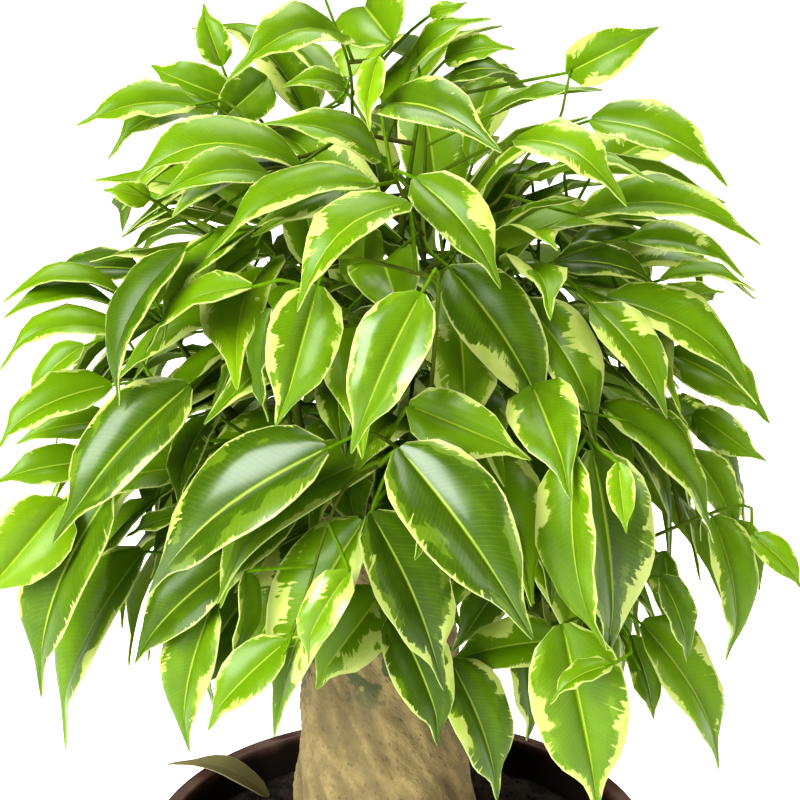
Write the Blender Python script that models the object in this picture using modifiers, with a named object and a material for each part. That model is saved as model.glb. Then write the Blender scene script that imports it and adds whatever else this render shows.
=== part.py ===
"""Potted weeping fig: a variegated bush on one stout trunk, in a plain brown pot.

Metres, +Z up. The origin is the middle of the underside of the pot. The viewer stands on the
-Y side. Every leafy branch is one solid: a limb with its twigs, leaf stalks and leaves.
"""

import math
import random
from dataclasses import dataclass, field

import bmesh
import bpy
from mathutils import Quaternion, Vector
from mathutils.bvhtree import BVHTree

# Clearance that neighbouring pieces keep
GAP = 0.0003

# Pot
POT_RIM_RADIUS = 0.081
POT_HEIGHT = 0.1475
POT_FOOT_RADIUS = 0.056
POT_WALL = 0.003
POT_FLOOR = 0.004
RIM_HEIGHT = 0.012
RIM_PROUD = 0.0025
RIM_ROUND = 0.0012
FOOT_ROUND = 0.003
TURN_STEPS = 32
DRAIN_COUNT = 5
DRAIN_RADIUS = 0.0045
DRAIN_RING = 0.036

# Soil
SOIL_LEVEL = 0.135
SOIL_MOUND = 0.0045
SOIL_RINGS = 7
SOIL_LUMP = 0.0011

# Trunk
TRUNK_X = -0.0055
TRUNK_FOOT = 0.090
TRUNK_TOP = 0.262
TRUNK_SOIL_RADIUS = 0.0305
TRUNK_HOLE = TRUNK_SOIL_RADIUS + 2.0 * GAP
TRUNK_SIDES = 24
TRUNK_STEP = 0.012
RIB_START = SOIL_LEVEL + SOIL_MOUND + 0.002
RIB_FULL = RIB_START + 0.012

# Limbs
STUB_RADIUS = 0.0052
STUB_LENGTH = 0.0075
LIMB_RADIUS = 0.0047
LIMB_END_RADIUS = 0.0014
LIMB_POINTS = 8
TWIG_RADIUS = 0.0011
TWIG_END_RADIUS = 0.0008

# Leaves
BLADE_THICK = 0.0013
BLADE_STATIONS = (0.15, 0.42, 0.74)
PLAIN_STATIONS = (0.20, 0.62)
STALK_RADIUS = 0.0007
STALK_LENGTH = 0.011
BLADE_RATIO = 0.46
BLADE_FOLD = 0.26
CROWN_CENTRE = Vector((0.0, 0.0, 0.285))
CROWN_SEED = 7
FILL_COUNT = 166
FILL_TRIES = 9

# The viewer's eye, for the leaves that are placed by where they show in a frame of 800 by 800
EYE = Vector((0.0, -0.4675, 0.4154))
EYE_PITCH = math.radians(14.8)
EYE_FOCAL = 1600.0
FRAME_MIDDLE = 400.0
EYE_FORWARD = Vector((0.0, math.cos(EYE_PITCH), -math.sin(EYE_PITCH)))
EYE_UP = Vector((0.0, math.sin(EYE_PITCH), math.cos(EYE_PITCH)))


@dataclass
class Limb:
    """Main stem of a leafy branch: how it leaves the trunk and where it ends."""

    heading: float
    height: float
    rise: float
    end_heading: float
    end_radius: float
    end_height: float


@dataclass
class Seen:
    """A leaf as the viewer sees it: blade ends in the frame, reach towards the eye, width."""

    base: tuple
    tip: tuple
    reach: tuple
    width: float
    arch: float = 0.10
    turn: int = 1
    ratio: float = BLADE_RATIO


@dataclass
class Leaf:
    """One blade with its stalk."""

    base: Vector
    tip: Vector
    face: Vector
    width: float
    arch: float
    fold: float = BLADE_FOLD
    stations: tuple = BLADE_STATIONS
    twist: float = 0.0
    branch: int = -1
    stalk: list = field(default_factory=list)
    radii: list = field(default_factory=list)


@dataclass
class Twig:
    """A woody stem with a radius at each of its points."""

    points: list
    radii: list
    branch: int


LIMBS = (
    Limb(-92, 0.240, 30, -88, 0.068, 0.246),
    Limb(-34, 0.241, 28, -32, 0.072, 0.238),
    Limb(28, 0.239, 30, 26, 0.072, 0.240),
    Limb(88, 0.241, 28, 90, 0.072, 0.238),
    Limb(150, 0.240, 30, 152, 0.072, 0.240),
    Limb(-150, 0.241, 28, -148, 0.072, 0.236),
    Limb(-62, 0.232, 50, -60, 0.064, 0.312),
    Limb(-2, 0.231, 52, 2, 0.068, 0.318),
    Limb(58, 0.232, 50, 66, 0.066, 0.322),
    Limb(119, 0.231, 52, 128, 0.066, 0.318),
    Limb(-179, 0.232, 50, -172, 0.068, 0.316),
    Limb(-121, 0.231, 52, -116, 0.062, 0.318),
    Limb(-60, 0.262, 86, -75, 0.016, 0.372),
)

# Stems that show between the leaves: points in the frame, each with its reach
SEEN_STEMS = (
    (
        ((400, 455), 0.080), ((345, 482), 0.090), ((325, 530), 0.097), ((305, 600), 0.099),
        ((290, 640), 0.098),
    ),
    (((500, 300), 0.030), ((545, 265), 0.036), ((580, 250), 0.034), ((622, 238), 0.030)),
    (((215, 240), 0.035), ((180, 218), 0.045), ((152, 200), 0.050)),
    (((424, 190), 0.020), ((426, 140), 0.022), ((420, 80), 0.022)),
    (((500, 200), 0.018), ((530, 150), 0.026), ((560, 122), 0.030), ((566, 92), 0.031)),
    (((205, 375), 0.060), ((180, 405), 0.066), ((158, 432), 0.068)),
    (((352, 120), 0.020), ((352, 70), 0.036), ((330, 12), 0.040)),
    (((505, 385), 0.056), ((550, 405), 0.064), ((600, 415), 0.072)),
    (((600, 590), 0.058), ((618, 630), 0.068), ((632, 655), 0.082)),
    (((330, 520), 0.058), ((285, 542), 0.064), ((255, 560), 0.068)),
    (((270, 150), 0.000), ((235, 120), -0.006), ((205, 98), -0.008)),
)

SEEN_LEAVES = (
    Seen((422, 292), (351, 454), (0.098, 0.105), 75, 0.06),
    Seen((398, 447), (534, 641), (0.100, 0.115), 102, 0.08),
    Seen((329, 448), (146, 598), (0.095, 0.085), 85, 0.10),
    Seen((410, 203), (296, 314), (0.085, 0.100), 52, 0.22),
    Seen((318, 285), (278, 430), (0.090, 0.098), 76, 0.08),
    Seen((272, 308), (264, 424), (0.085, 0.088), 20, 0.05, -1),
    Seen((450, 268), (552, 429), (0.075, 0.085), 80, 0.10),
    Seen((415, 178), (503, 288), (0.070, 0.080), 60, 0.16),
    Seen((380, 105), (503, 152), (0.060, 0.085), 56, 0.14),
    Seen((393, 43), (366, 8), (0.036, -0.010), 80, 0.10),
    Seen((345, 40), (226, 79), (0.045, 0.070), 52, 0.22),
    Seen((378, 57), (364, 130), (0.065, 0.075), 30, 0.05, 1, 0.40),
    Seen((125, 298), (0, 297), (0.030, 0.045), 22, 0.17),
    Seen((115, 305), (0, 314), (0.030, 0.050), 24, 0.12),
    Seen((125, 335), (-8, 366), (0.045, 0.055), 32, 0.20),
    Seen((140, 270), (40, 280), (0.000, 0.000), 34, 0.10),
    Seen((85, 345), (28, 410), (0.020, 0.020), 27, 0.12),
    Seen((190, 385), (55, 545), (0.075, 0.085), 75, 0.08),
    Seen((185, 250), (113, 407), (0.075, 0.082), 38, 0.13),
    Seen((255, 228), (155, 340), (0.066, 0.072), 28, 0.12),
    Seen((258, 248), (200, 300), (0.060, 0.066), 28, 0.12),
    Seen((253, 287), (147, 352), (0.085, 0.080), 24, 0.16),
    Seen((375, 185), (205, 262), (0.068, 0.075), 38, 0.16),
    Seen((345, 186), (255, 230), (0.055, 0.062), 40, 0.12),
    Seen((268, 175), (155, 197), (0.055, 0.070), 40, 0.15),
    Seen((300, 165), (113, 197), (0.035, 0.045), 48, 0.22),
    Seen((150, 198), (103, 187), (0.050, 0.055), 28, 0.05),
    Seen((195, 105), (76, 127), (0.000, 0.010), 38, 0.12),
    Seen((215, 110), (102, 153), (-0.010, 0.004), 34, 0.15),
    Seen((232, 100), (146, 66), (-0.020, -0.024), 48, 0.12),
    Seen((268, 78), (208, 132), (-0.012, -0.004), 54, 0.12),
    Seen((222, 66), (200, 4), (-0.026, -0.030), 36, 0.08),
    Seen((380, 160), (262, 124), (0.030, 0.040), 38, 0.14),
    Seen((345, 88), (280, 85), (0.010, 0.016), 24, 0.16),
    Seen((567, 73), (661, 26), (0.030, 0.035), 52, 0.16),
    Seen((490, 115), (603, 90), (0.020, 0.030), 14, 0.06),
    Seen((515, 140), (625, 210), (0.060, 0.072), 46, 0.24),
    Seen((590, 120), (731, 184), (0.020, 0.030), 48, 0.14),
    Seen((577, 215), (764, 243), (0.025, 0.035), 44, 0.15),
    Seen((628, 240), (748, 275), (0.024, 0.030), 30, 0.12),
    Seen((660, 280), (755, 292), (0.020, 0.024), 18, 0.15),
    Seen((555, 262), (662, 285), (0.030, 0.034), 36, 0.12),
    Seen((605, 298), (758, 406), (0.045, 0.055), 52, 0.15),
    Seen((522, 300), (603, 442), (0.065, 0.080), 64, 0.12),
    Seen((592, 305), (669, 420), (0.050, 0.060), 50, 0.12),
    Seen((668, 352), (776, 420), (0.008, 0.018), 54, 0.14),
    Seen((694, 412), (766, 464), (0.014, 0.024), 42, 0.10),
    Seen((592, 448), (612, 663), (0.080, 0.085), 86, 0.06),
    Seen((575, 455), (602, 655), (0.092, 0.099), 60, 0.08, -1),
    Seen((533, 386), (577, 497), (0.070, 0.102), 76, 0.10),
    Seen((618, 462), (626, 535), (0.100, 0.103), 30, 0.05, 1, 0.40),
    Seen((408, 405), (534, 457), (0.085, 0.092), 65, 0.10),
    Seen((370, 512), (443, 691), (0.088, 0.090), 80, 0.08),
    Seen((392, 612), (445, 747), (0.075, 0.078), 66, 0.10),
    Seen((450, 660), (498, 802), (0.070, 0.068), 62, 0.08),
    Seen((562, 622), (600, 812), (0.085, 0.082), 100, 0.06),
    Seen((562, 640), (437, 665), (0.065, 0.070), 55, 0.10),
    Seen((612, 665), (547, 702), (0.094, 0.099), 25, 0.12),
    Seen((287, 641), (201, 729), (0.094, 0.097), 50, 0.06),
    Seen((350, 571), (300, 663), (0.104, 0.106), 45, 0.10),
    Seen((365, 520), (274, 735), (0.086, 0.088), 75, 0.08),
    Seen((385, 455), (215, 605), (0.082, 0.086), 60, 0.15),
    Seen((300, 500), (215, 605), (0.076, 0.080), 50, 0.12),
    Seen((386, 588), (309, 690), (0.066, 0.070), 72, 0.10),
    Seen((516, 610), (528, 745), (0.060, 0.062), 50, 0.08),
    Seen((245, 570), (227, 670), (0.078, 0.080), 24, 0.08, -1),
    Seen((235, 560), (131, 664), (0.070, 0.072), 60, 0.10),
    Seen((215, 600), (184, 755), (0.060, 0.062), 55, 0.08),
    Seen((112, 490), (38, 698), (0.055, 0.058), 70, 0.10),
    Seen((145, 550), (58, 748), (0.040, 0.042), 50, 0.08),
    Seen((65, 500), (-20, 600), (0.060, 0.065), 78, 0.08),
    Seen((112, 385), (-12, 447), (0.050, 0.060), 46, 0.12),
    Seen((112, 422), (14, 440), (0.040, 0.044), 36, 0.08),
    Seen((92, 462), (-8, 482), (0.045, 0.050), 42, 0.10),
    Seen((185, 468), (70, 500), (0.060, 0.064), 42, 0.10),
    Seen((182, 440), (95, 468), (0.052, 0.056), 34, 0.10),
    Seen((185, 515), (125, 538), (0.050, 0.054), 20, 0.08),
    Seen((640, 622), (722, 768), (0.060, 0.056), 56, 0.08),
    Seen((660, 575), (688, 666), (0.065, 0.066), 32, 0.08),
    Seen((665, 550), (690, 640), (0.050, 0.052), 32, 0.08, -1),
    Seen((712, 515), (733, 662), (0.040, 0.042), 44, 0.08),
    Seen((735, 520), (760, 590), (0.030, 0.032), 27, 0.08),
    Seen((752, 534), (805, 590), (0.045, 0.050), 32, 0.10),
    Seen((630, 635), (653, 720), (0.052, 0.053), 36, 0.08),
    Seen((600, 405), (715, 545), (0.055, 0.060), 40, 0.12),
    Seen((650, 410), (695, 490), (0.050, 0.054), 40, 0.08),
    Seen((690, 450), (738, 545), (0.035, 0.040), 38, 0.10),
    Seen((410, 70), (490, 15), (0.020, 0.028), 26, 0.12),
    Seen((445, 60), (516, 48), (0.018, 0.026), 30, 0.14),
    Seen((450, 78), (518, 72), (0.020, 0.030), 26, 0.12),
    Seen((430, 15), (468, 6), (0.020, 0.024), 18, 0.10),
    Seen((522, 562), (455, 655), (0.044, 0.048), 50, 0.10),
)

# Outline of the crown in the frame, which the other leaves keep inside, and gaps left open in it
CROWN_OUTLINE = (
    (190, 14), (250, -30), (330, -60), (440, -60), (512, -20), (528, 40), (560, 104), (650, 120),
    (731, 184), (764, 240), (762, 300), (785, 360), (785, 440), (762, 500), (762, 590), (740, 660),
    (724, 768), (668, 730), (640, 690), (612, 800), (580, 800), (500, 800), (476, 690), (440, 668),
    (330, 668), (262, 690), (190, 750), (136, 668), (100, 690), (58, 750), (30, 700), (-40, 620),
    (-60, 520), (-60, 330), (0, 268), (92, 250), (98, 200), (74, 130), (150, 66),
)
OPEN_GAPS = (
    (533, 118, 22), (688, 358, 26), (300, 102, 14), (338, 168, 10), (60, 380, 20), (128, 520, 18),
    (110, 600, 24), (560, 190, 8), (590, 160, 8), (270, 720, 26), (745, 500, 14),
)


def direction(heading, rise):
    """Unit vector at a heading from +X and a rise over level, both in degrees."""
    flat = math.cos(math.radians(rise))
    return Vector((
        flat * math.cos(math.radians(heading)),
        flat * math.sin(math.radians(heading)),
        math.sin(math.radians(rise)),
    ))


def sight(pixel, reach):
    """Point seen at a pixel, on the upright plane that stands a reach in front of the middle."""
    across = (pixel[0] - FRAME_MIDDLE) / EYE_FOCAL
    above = (FRAME_MIDDLE - pixel[1]) / EYE_FOCAL
    ray = EYE_FORWARD + Vector((across, 0.0, 0.0)) + EYE_UP * above
    return EYE + ray * ((-reach - EYE.y) / ray.y)


def in_frame(point):
    """Pixel at which a point shows."""
    offset = point - EYE
    depth = offset.dot(EYE_FORWARD)
    return (
        FRAME_MIDDLE + EYE_FOCAL * offset.x / depth,
        FRAME_MIDDLE - EYE_FOCAL * offset.dot(EYE_UP) / depth,
    )


def smooth(low, high, value):
    """0 below low, 1 above high and an even ease between them."""
    share = min(max((value - low) / (high - low), 0.0), 1.0)
    return share * share * (3.0 - 2.0 * share)


def inside(polygon, pixel):
    """True where a pixel lies inside a polygon."""
    odd = False
    for (x0, y0), (x1, y1) in zip(polygon, polygon[1:] + polygon[:1]):
        if (y0 > pixel[1]) != (y1 > pixel[1]) and pixel[0] < x0 + (x1 - x0) * (pixel[1] - y0) / (y1 - y0):
            odd = not odd
    return odd


def blade_profile(s):
    """Half width of a blade as a share of its widest: rounded base, long drip tip."""
    body = (s ** 0.62) * ((1.0 - s) ** 1.22) / 0.3113
    return body * (1.0 - 0.30 * smooth(0.62, 0.90, s))


def blade_frame(leaf, s):
    """Point of the midrib, and the side and upward directions there."""
    chord = leaf.tip - leaf.base
    along = chord.normalized()
    face = (leaf.face - along * leaf.face.dot(along)).normalized()
    point = leaf.base + chord * s + face * (leaf.arch * chord.length * math.sin(math.pi * s))
    slope = leaf.arch * math.pi * math.cos(math.pi * s)
    turned = Quaternion(along, leaf.twist * (s - 0.5)) @ face
    up = (turned - along * slope).normalized()
    ahead = (along + face * slope).normalized()
    return point, ahead.cross(up).normalized(), up


def blade_ring(leaf, s, thick):
    """Four corners of a blade's section: left edge, top, right edge and underside."""
    point, side, up = blade_frame(leaf, s)
    half = 0.5 * leaf.width * blade_profile(s)
    out = side * (half * math.cos(leaf.fold))
    lift = up * (half * math.sin(leaf.fold))
    return [point - out + lift, point + up * (0.5 * thick), point + out + lift, point - up * (0.5 * thick)]


def stalk_ring(point, ahead, side, radius):
    """Four corners of a stalk's section."""
    side = (side - ahead * side.dot(ahead)).normalized()
    up = side.cross(ahead).normalized()
    return [point - side * radius, point + up * radius, point + side * radius, point - up * radius]


def loft(rings, tip):
    """Closed skin over a row of rings that ends in a point, as vertices and triangles."""
    vertices = [corner for ring in rings for corner in ring] + [tip]
    sides = len(rings[0])
    faces = [(2, 1, 0), (3, 2, 0)]
    for level in range(len(rings) - 1):
        low = level * sides
        for near, far in ((0, 1), (2, 1), (2, 3), (0, 3)):
            a, b = low + near, low + far
            quad = ((a, a + sides, b + sides), (a, b + sides, b))
            flip = (far - near) % sides == 1
            faces.extend(tuple(reversed(face)) if flip else face for face in quad)
    last = (len(rings) - 1) * sides
    apex = len(vertices) - 1
    faces.extend((last + step, last + (step + 1) % sides, apex) for step in range(sides))
    return vertices, faces


def leaf_skin(leaf, extra=0.0):
    """Closed skin of a leaf, with its stalk and twig where it has them; extra thickens it."""
    base, side, up = blade_frame(leaf, 0.0)
    rings = []
    line = leaf.stalk + [base]
    for step, (point, radius) in enumerate(zip(leaf.stalk, leaf.radii)):
        before = line[step - 1] if step else point
        rings.append(stalk_ring(point, (line[step + 1] - before).normalized(), side, radius + 0.5 * extra))
    rings.append(stalk_ring(base, up.cross(side).normalized(), side, STALK_RADIUS + 0.5 * extra))
    rings.extend(blade_ring(leaf, s, BLADE_THICK + extra) for s in leaf.stations)
    return loft(rings, leaf.tip)


def tube_skin(points, radius, sides=4):
    """Flat-sided tube that holds a round one of this radius, as vertices and triangles."""
    corner_radius = radius / math.cos(math.pi / sides)
    vertices = []
    faces = []
    for step, point in enumerate(points):
        ahead = (points[min(step + 1, len(points) - 1)] - points[max(step - 1, 0)]).normalized()
        side = ahead.orthogonal().normalized()
        over = ahead.cross(side)
        for corner in range(sides):
            turn = 2.0 * math.pi * corner / sides
            vertices.append(point + (side * math.cos(turn) + over * math.sin(turn)) * corner_radius)
    for low in range(0, sides * (len(points) - 1), sides):
        for corner in range(sides):
            a, b = low + corner, low + (corner + 1) % sides
            faces.extend(((a, b, b + sides), (a, b + sides, a + sides)))
    last = sides * (len(points) - 1)
    for step in range(1, sides - 1):
        faces.extend(((0, step + 1, step), (last, last + step, last + step + 1)))
    return vertices, faces


def bezier(start, lead, end, count):
    """Points of a curve from start to end that sets out towards lead."""
    points = []
    for step in range(count):
        t = step / (count - 1)
        points.append(start * (1 - t) ** 2 + lead * (2 * t * (1 - t)) + end * t ** 2)
    return points


def stub_ends(limb):
    """Where a limb's stub leaves the trunk's axis, where it ends, and its heading."""
    out = direction(limb.heading, limb.rise)
    axis = Vector((TRUNK_X, 0.0, limb.height))
    flat = math.hypot(out.x, out.y)
    side_length = (0.024 / flat) if flat > 0.5 else 0.0
    top_length = (TRUNK_TOP - limb.height) / max(out.z, 0.01)
    length = min(side_length, top_length) if side_length else top_length
    return axis, axis + out * (length + STUB_LENGTH), out


class Solid:
    """A skin kept for finding out whether pieces would cross."""

    def __init__(self, skin, branch, wood):
        vertices, faces = skin
        self.low = [min(v[axis] for v in vertices) for axis in range(3)]
        self.high = [max(v[axis] for v in vertices) for axis in range(3)]
        self.tree = BVHTree.FromPolygons(vertices, faces, all_triangles=True)
        self.branch = branch
        self.wood = wood

    def crosses(self, other):
        """True where two skins cut each other."""
        for axis in range(3):
            if self.high[axis] < other.low[axis] or other.high[axis] < self.low[axis]:
                return False
        return bool(self.tree.overlap(other.tree))


class Crown:
    """The plan of all limbs, twigs and leaves, laid out so that no two of them cross."""

    CLEAR = 0.0013
    SPARE = 0.0006
    PUSH = 0.003
    PUSH_STEPS = 9
    RETRIES = (-1, -2, -3, -4, 1, 2, 3, 4, 5, 6)
    JOIN_NEAR = 0.0235
    JOIN_FAR = 0.085
    JOIN_CHOICES = 60
    SEEN_CHOICES = 200
    LEANS = (0.35, -0.3, 1.0, 3.0, -0.8, 8.0)
    TREE_STEP = 0.004
    LOOK_STEP = 0.0025
    NEAR_BASE = 0.0045
    LIMB_STRAIGHT = 0.004
    LOWEST = 0.158

    def __init__(self):
        self.draw = random.Random(CROWN_SEED)
        self.leaves = []
        self.twigs = []
        self.solids = []
        self.joints = []
        self.marks = []
        self.views = []
        self.lost = []

    def plan(self):
        """Lay out the limbs, then the stems and leaves that show, then all the others."""
        self.add_trunk()
        for branch, limb in enumerate(LIMBS):
            self.add_limb(branch, limb)
        for stem in SEEN_STEMS:
            self.add_seen_stem(stem)
        order = sorted(SEEN_LEAVES, key=lambda seen: -sum(seen.reach))
        blades = [(seen, *self.place_seen(seen)) for seen in order]
        for seen, leaf, solid in blades:
            if leaf is not None:
                self.join_seen(seen, leaf, solid)
        self.add_fill()

    def add_trunk(self):
        """Keep the trunk's own room free."""
        axis = [Vector((TRUNK_X, 0.0, SOIL_LEVEL)), Vector((TRUNK_X, 0.0, TRUNK_TOP + 0.004))]
        self.solids.append(Solid(tube_skin(axis, trunk_radius(TRUNK_TOP) + 0.005, 10), -1, True))
        for limb in LIMBS:
            root, end, _ = stub_ends(limb)
            stub = [root + (end - root) * 0.25, end]
            self.solids.append(Solid(tube_skin(stub, 1.2 * STUB_RADIUS), -1, True))

    def add_limb(self, branch, limb):
        """Lay out one limb from the end of its stub."""
        _, stub, out = stub_ends(limb)
        start = stub + out * (2.0 * GAP)
        end = direction(limb.end_heading, 0.0) * limb.end_radius + Vector((0.0, 0.0, limb.end_height))
        bend = start + out * self.LIMB_STRAIGHT
        lead = bend + out * (0.5 * (end - start).length)
        points = [start] + bezier(bend, lead, end, LIMB_POINTS - 1)
        radii = [
            LIMB_RADIUS + (LIMB_END_RADIUS - LIMB_RADIUS) * (step / (LIMB_POINTS - 1)) ** 0.7
            for step in range(LIMB_POINTS)
        ]
        self.twigs.append(Twig(points, radii, branch))
        self.keep_wood(points, radii, branch, 2)

    def keep_wood(self, points, radii, branch, skip=0):
        """Store a stem's solid, and the points where others can join it past its first stretches."""
        for step in range(len(points) - 1):
            piece = points[step:step + 2]
            self.solids.append(Solid(tube_skin(piece, max(radii[step:step + 2]) + GAP), branch, True))
            run = piece[1] - piece[0]
            count = max(1, round(run.length / self.TREE_STEP))
            if step >= skip:
                shares = [(place + 0.55) / count for place in range(count)]
                self.joints.extend((piece[0] + run * share, branch) for share in shares)

    def is_clear(self, solid, own=-2, wood_only=False):
        """True where a solid crosses nothing, apart from the wood of its own branch."""
        for other in self.solids:
            if other.wood and other.branch == own or wood_only and not other.wood:
                continue
            if solid.crosses(other):
                return False
        return True

    def add_seen_stem(self, stem):
        """Add a stem that shows, from the nearest limb."""
        points = [sight(pixel, reach) for pixel, reach in stem]
        choices = sorted(self.joints, key=lambda joint: (joint[0] - points[0]).length)
        for root, branch in choices[:self.SEEN_CHOICES]:
            lead = points[0] + (points[0] - points[1]).normalized() * (0.4 * (points[0] - root).length)
            path = bezier(root, lead, points[0], 4)[:-1] + points
            solid = Solid(tube_skin(path, 1.5 * TWIG_RADIUS + self.SPARE), branch, True)
            if self.is_clear(solid, branch):
                thin = 0.5 * TWIG_RADIUS / len(path)
                radii = [1.5 * TWIG_RADIUS - thin * step for step in range(len(path))]
                self.twigs.append(Twig(path, radii, branch))
                self.keep_wood(path, radii, branch)
                return
        self.lost.append(("stem", stem[0]))

    def seen_leaf(self, seen, back):
        """The blade of a leaf that shows, pushed back along its sight lines."""
        base = sight(seen.base, seen.reach[0] - back)
        tip = sight(seen.tip, seen.reach[1] - back)
        middle = (base + tip) * 0.5
        scale = (middle - EYE).dot(EYE_FORWARD) / EYE_FOCAL
        along = (tip - base).normalized()
        eyeward = EYE - middle
        eyeward = (eyeward - along * eyeward.dot(along)).normalized()
        side = along.cross(eyeward)
        if (side.z if abs(side.z) > 0.15 else side.x) < 0.0:
            side = -side
        shown = seen.width * scale
        true = max(shown, seen.ratio * (tip - base).length)
        roll = math.acos(shown / true) * seen.turn
        face = eyeward * math.cos(roll) + side * math.sin(roll)
        return Leaf(base, tip, face, true, seen.arch)

    def place_seen(self, seen):
        """Put a leaf that shows at the first depth where it is clear."""
        for step in range(self.PUSH_STEPS):
            leaf = self.seen_leaf(seen, step * self.PUSH)
            solid = Solid(leaf_skin(leaf, self.CLEAR), -3, False)
            if self.is_clear(solid):
                self.solids.append(solid)
                for s in (0.2, 0.45, 0.7):
                    point, side, _ = blade_frame(leaf, s)
                    out = side * (0.3 * leaf.width * blade_profile(s))
                    self.marks.extend((point - out, point, point + out))
                self.keep_view(leaf)
                return leaf, solid
        self.lost.append(("leaf", seen.base))
        return None, None

    def keep_view(self, leaf):
        """Keep where a leaf shows in the frame: its box, its distance and its outline."""
        rows = [blade_frame(leaf, s) for s in (0.0, 0.15, 0.35, 0.6, 0.85, 1.0)]
        halves = [0.5 * leaf.width * blade_profile(s) for s in (0.0, 0.15, 0.35, 0.6, 0.85, 1.0)]
        right = [in_frame(row[0] + row[1] * half) for row, half in zip(rows, halves)]
        left = [in_frame(row[0] - row[1] * half) for row, half in zip(rows, halves)]
        outline = right + left[-2:0:-1]
        across, down = [p[0] for p in outline], [p[1] for p in outline]
        far = min((row[0] - EYE).length for row in rows)
        self.views.append((in_frame(leaf.base), min(across), max(across), min(down), max(down), far, outline))

    def shows_over(self, leaf, path):
        """True where a stem passes in front of another leaf that shows."""
        own = in_frame(leaf.base)
        for start, end in zip(path, path[1:]):
            count = max(2, int((end - start).length / self.LOOK_STEP))
            for step in range(count + 1):
                point = start.lerp(end, step / count)
                if (point - leaf.base).length < self.NEAR_BASE:
                    continue
                x, y = in_frame(point)
                near = (point - EYE).length
                for base, left, right, top, low, far, outline in self.views:
                    if near < far and left < x < right and top < y < low and inside(outline, (x, y)):
                        if abs(base[0] - own[0]) + abs(base[1] - own[1]) > 1.0:
                            return True
        return False

    def join_seen(self, seen, leaf, solid):
        """Give a leaf that shows its stalk, at another depth where it needs one."""
        if self.join(leaf, solid):
            self.leaves.append(leaf)
            return
        self.solids.remove(solid)
        for step in self.RETRIES:
            leaf = self.seen_leaf(seen, step * self.PUSH)
            solid = Solid(leaf_skin(leaf, self.CLEAR), -3, False)
            if self.is_clear(solid):
                self.solids.append(solid)
                if self.join(leaf, solid):
                    self.leaves.append(leaf)
                    return
                self.solids.remove(solid)
        self.lost.append(("stalk", seen.base))

    def join(self, leaf, blade=None):
        """Find a clear way from a blade back to the wood; a leaf that shows gets more tries."""
        if blade is not None:
            self.solids.remove(blade)
        ahead = (blade_frame(leaf, 0.03)[0] - leaf.base).normalized()
        inward = (CROWN_CENTRE - leaf.base).normalized()
        most = self.JOIN_CHOICES if blade is None else self.SEEN_CHOICES
        for strict in (True, False):
            for lean in (self.LEANS[:1] if blade is None else self.LEANS):
                knee = leaf.base + (inward * lean - ahead).normalized() * STALK_LENGTH
                if self.join_at(leaf, knee, ahead, most, strict):
                    return True
        if blade is not None:
            self.solids.append(blade)
        return False

    def join_at(self, leaf, knee, ahead, most, strict):
        """Join a leaf to the nearest wood that a stalk through its knee, or straight, can reach."""
        end = leaf.base - ahead * 0.0012
        choices = sorted(self.joints, key=lambda joint: (joint[0] - knee).length)[:most]
        for joint in choices:
            root, branch = joint
            far = (root - leaf.base).length
            if far > self.JOIN_FAR:
                break
            if far <= self.JOIN_NEAR:
                path, stalk = [], [root + (end - root) * 0.25, end]
            else:
                path, stalk = [root, knee], [knee, end]
            if strict and self.shows_over(leaf, [root] + stalk):
                continue
            wood = Solid(tube_skin(path or [root, end], TWIG_RADIUS + self.SPARE), branch, True)
            stem = Solid(tube_skin(stalk, STALK_RADIUS + self.SPARE), branch, True)
            if not self.is_clear(wood, branch, not path) or not self.is_clear(stem, branch):
                continue
            if not self.hides(wood):
                self.joints.remove(joint)
                leaf.branch = branch
                leaf.stalk = path or [root]
                leaf.radii = [TWIG_RADIUS, TWIG_END_RADIUS] if path else [STALK_RADIUS]
                if path:
                    self.keep_wood(path, leaf.radii, branch)
                near = Leaf(**{**leaf.__dict__, "stalk": stalk[:1], "radii": [STALK_RADIUS]})
                self.solids.append(Solid(leaf_skin(near, self.SPARE), branch, False))
                return True
        return False

    def hides(self, solid):
        """True where a solid stands between the eye and a leaf that shows."""
        for mark in self.marks:
            ray = mark - EYE
            hit = solid.tree.ray_cast(EYE, ray.normalized(), ray.length - 0.002)
            if hit[0] is not None:
                return True
        return False

    def fill_leaf(self, index, attempt):
        """One leaf of the even cover round the crown."""
        share = (index + 0.5) / FILL_COUNT
        rise = math.asin(-0.68 + 1.66 * share)
        heading = index * math.pi * (3.0 - math.sqrt(5.0)) + self.draw.uniform(-0.25, 0.25)
        rise += self.draw.uniform(-0.18, 0.18)
        out = Vector((
            math.cos(rise) * math.cos(heading), math.cos(rise) * math.sin(heading), math.sin(rise)))
        front = max(0.0, -out.y)
        shell = self.draw.choice((0.050, 0.062, 0.074, 0.080)) - 0.004 * attempt * self.draw.random()
        shell -= 0.020 * front
        tall = 1.38 if out.z > 0.0 else 1.0
        base = CROWN_CENTRE + Vector((out.x * shell, out.y * shell, out.z * shell * tall))
        length = self.draw.uniform(0.044, 0.060)
        droop = 0.95 - 0.35 * out.z + self.draw.uniform(-0.3, 0.3)
        swing = self.draw.uniform(-0.5, 0.5)
        around = Vector((-math.sin(heading), math.cos(heading), 0.0))
        along = (out * 0.75 + Vector((0.0, 0.0, -droop)) + around * swing).normalized()
        tip = base + along * length
        face = out + Vector((0.0, 0.0, 0.75)) + around * self.draw.uniform(-0.4, 0.4)
        width = length * self.draw.uniform(0.42, 0.50)
        return Leaf(base, tip, face, width, self.draw.uniform(0.06, 0.18), stations=PLAIN_STATIONS)

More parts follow.
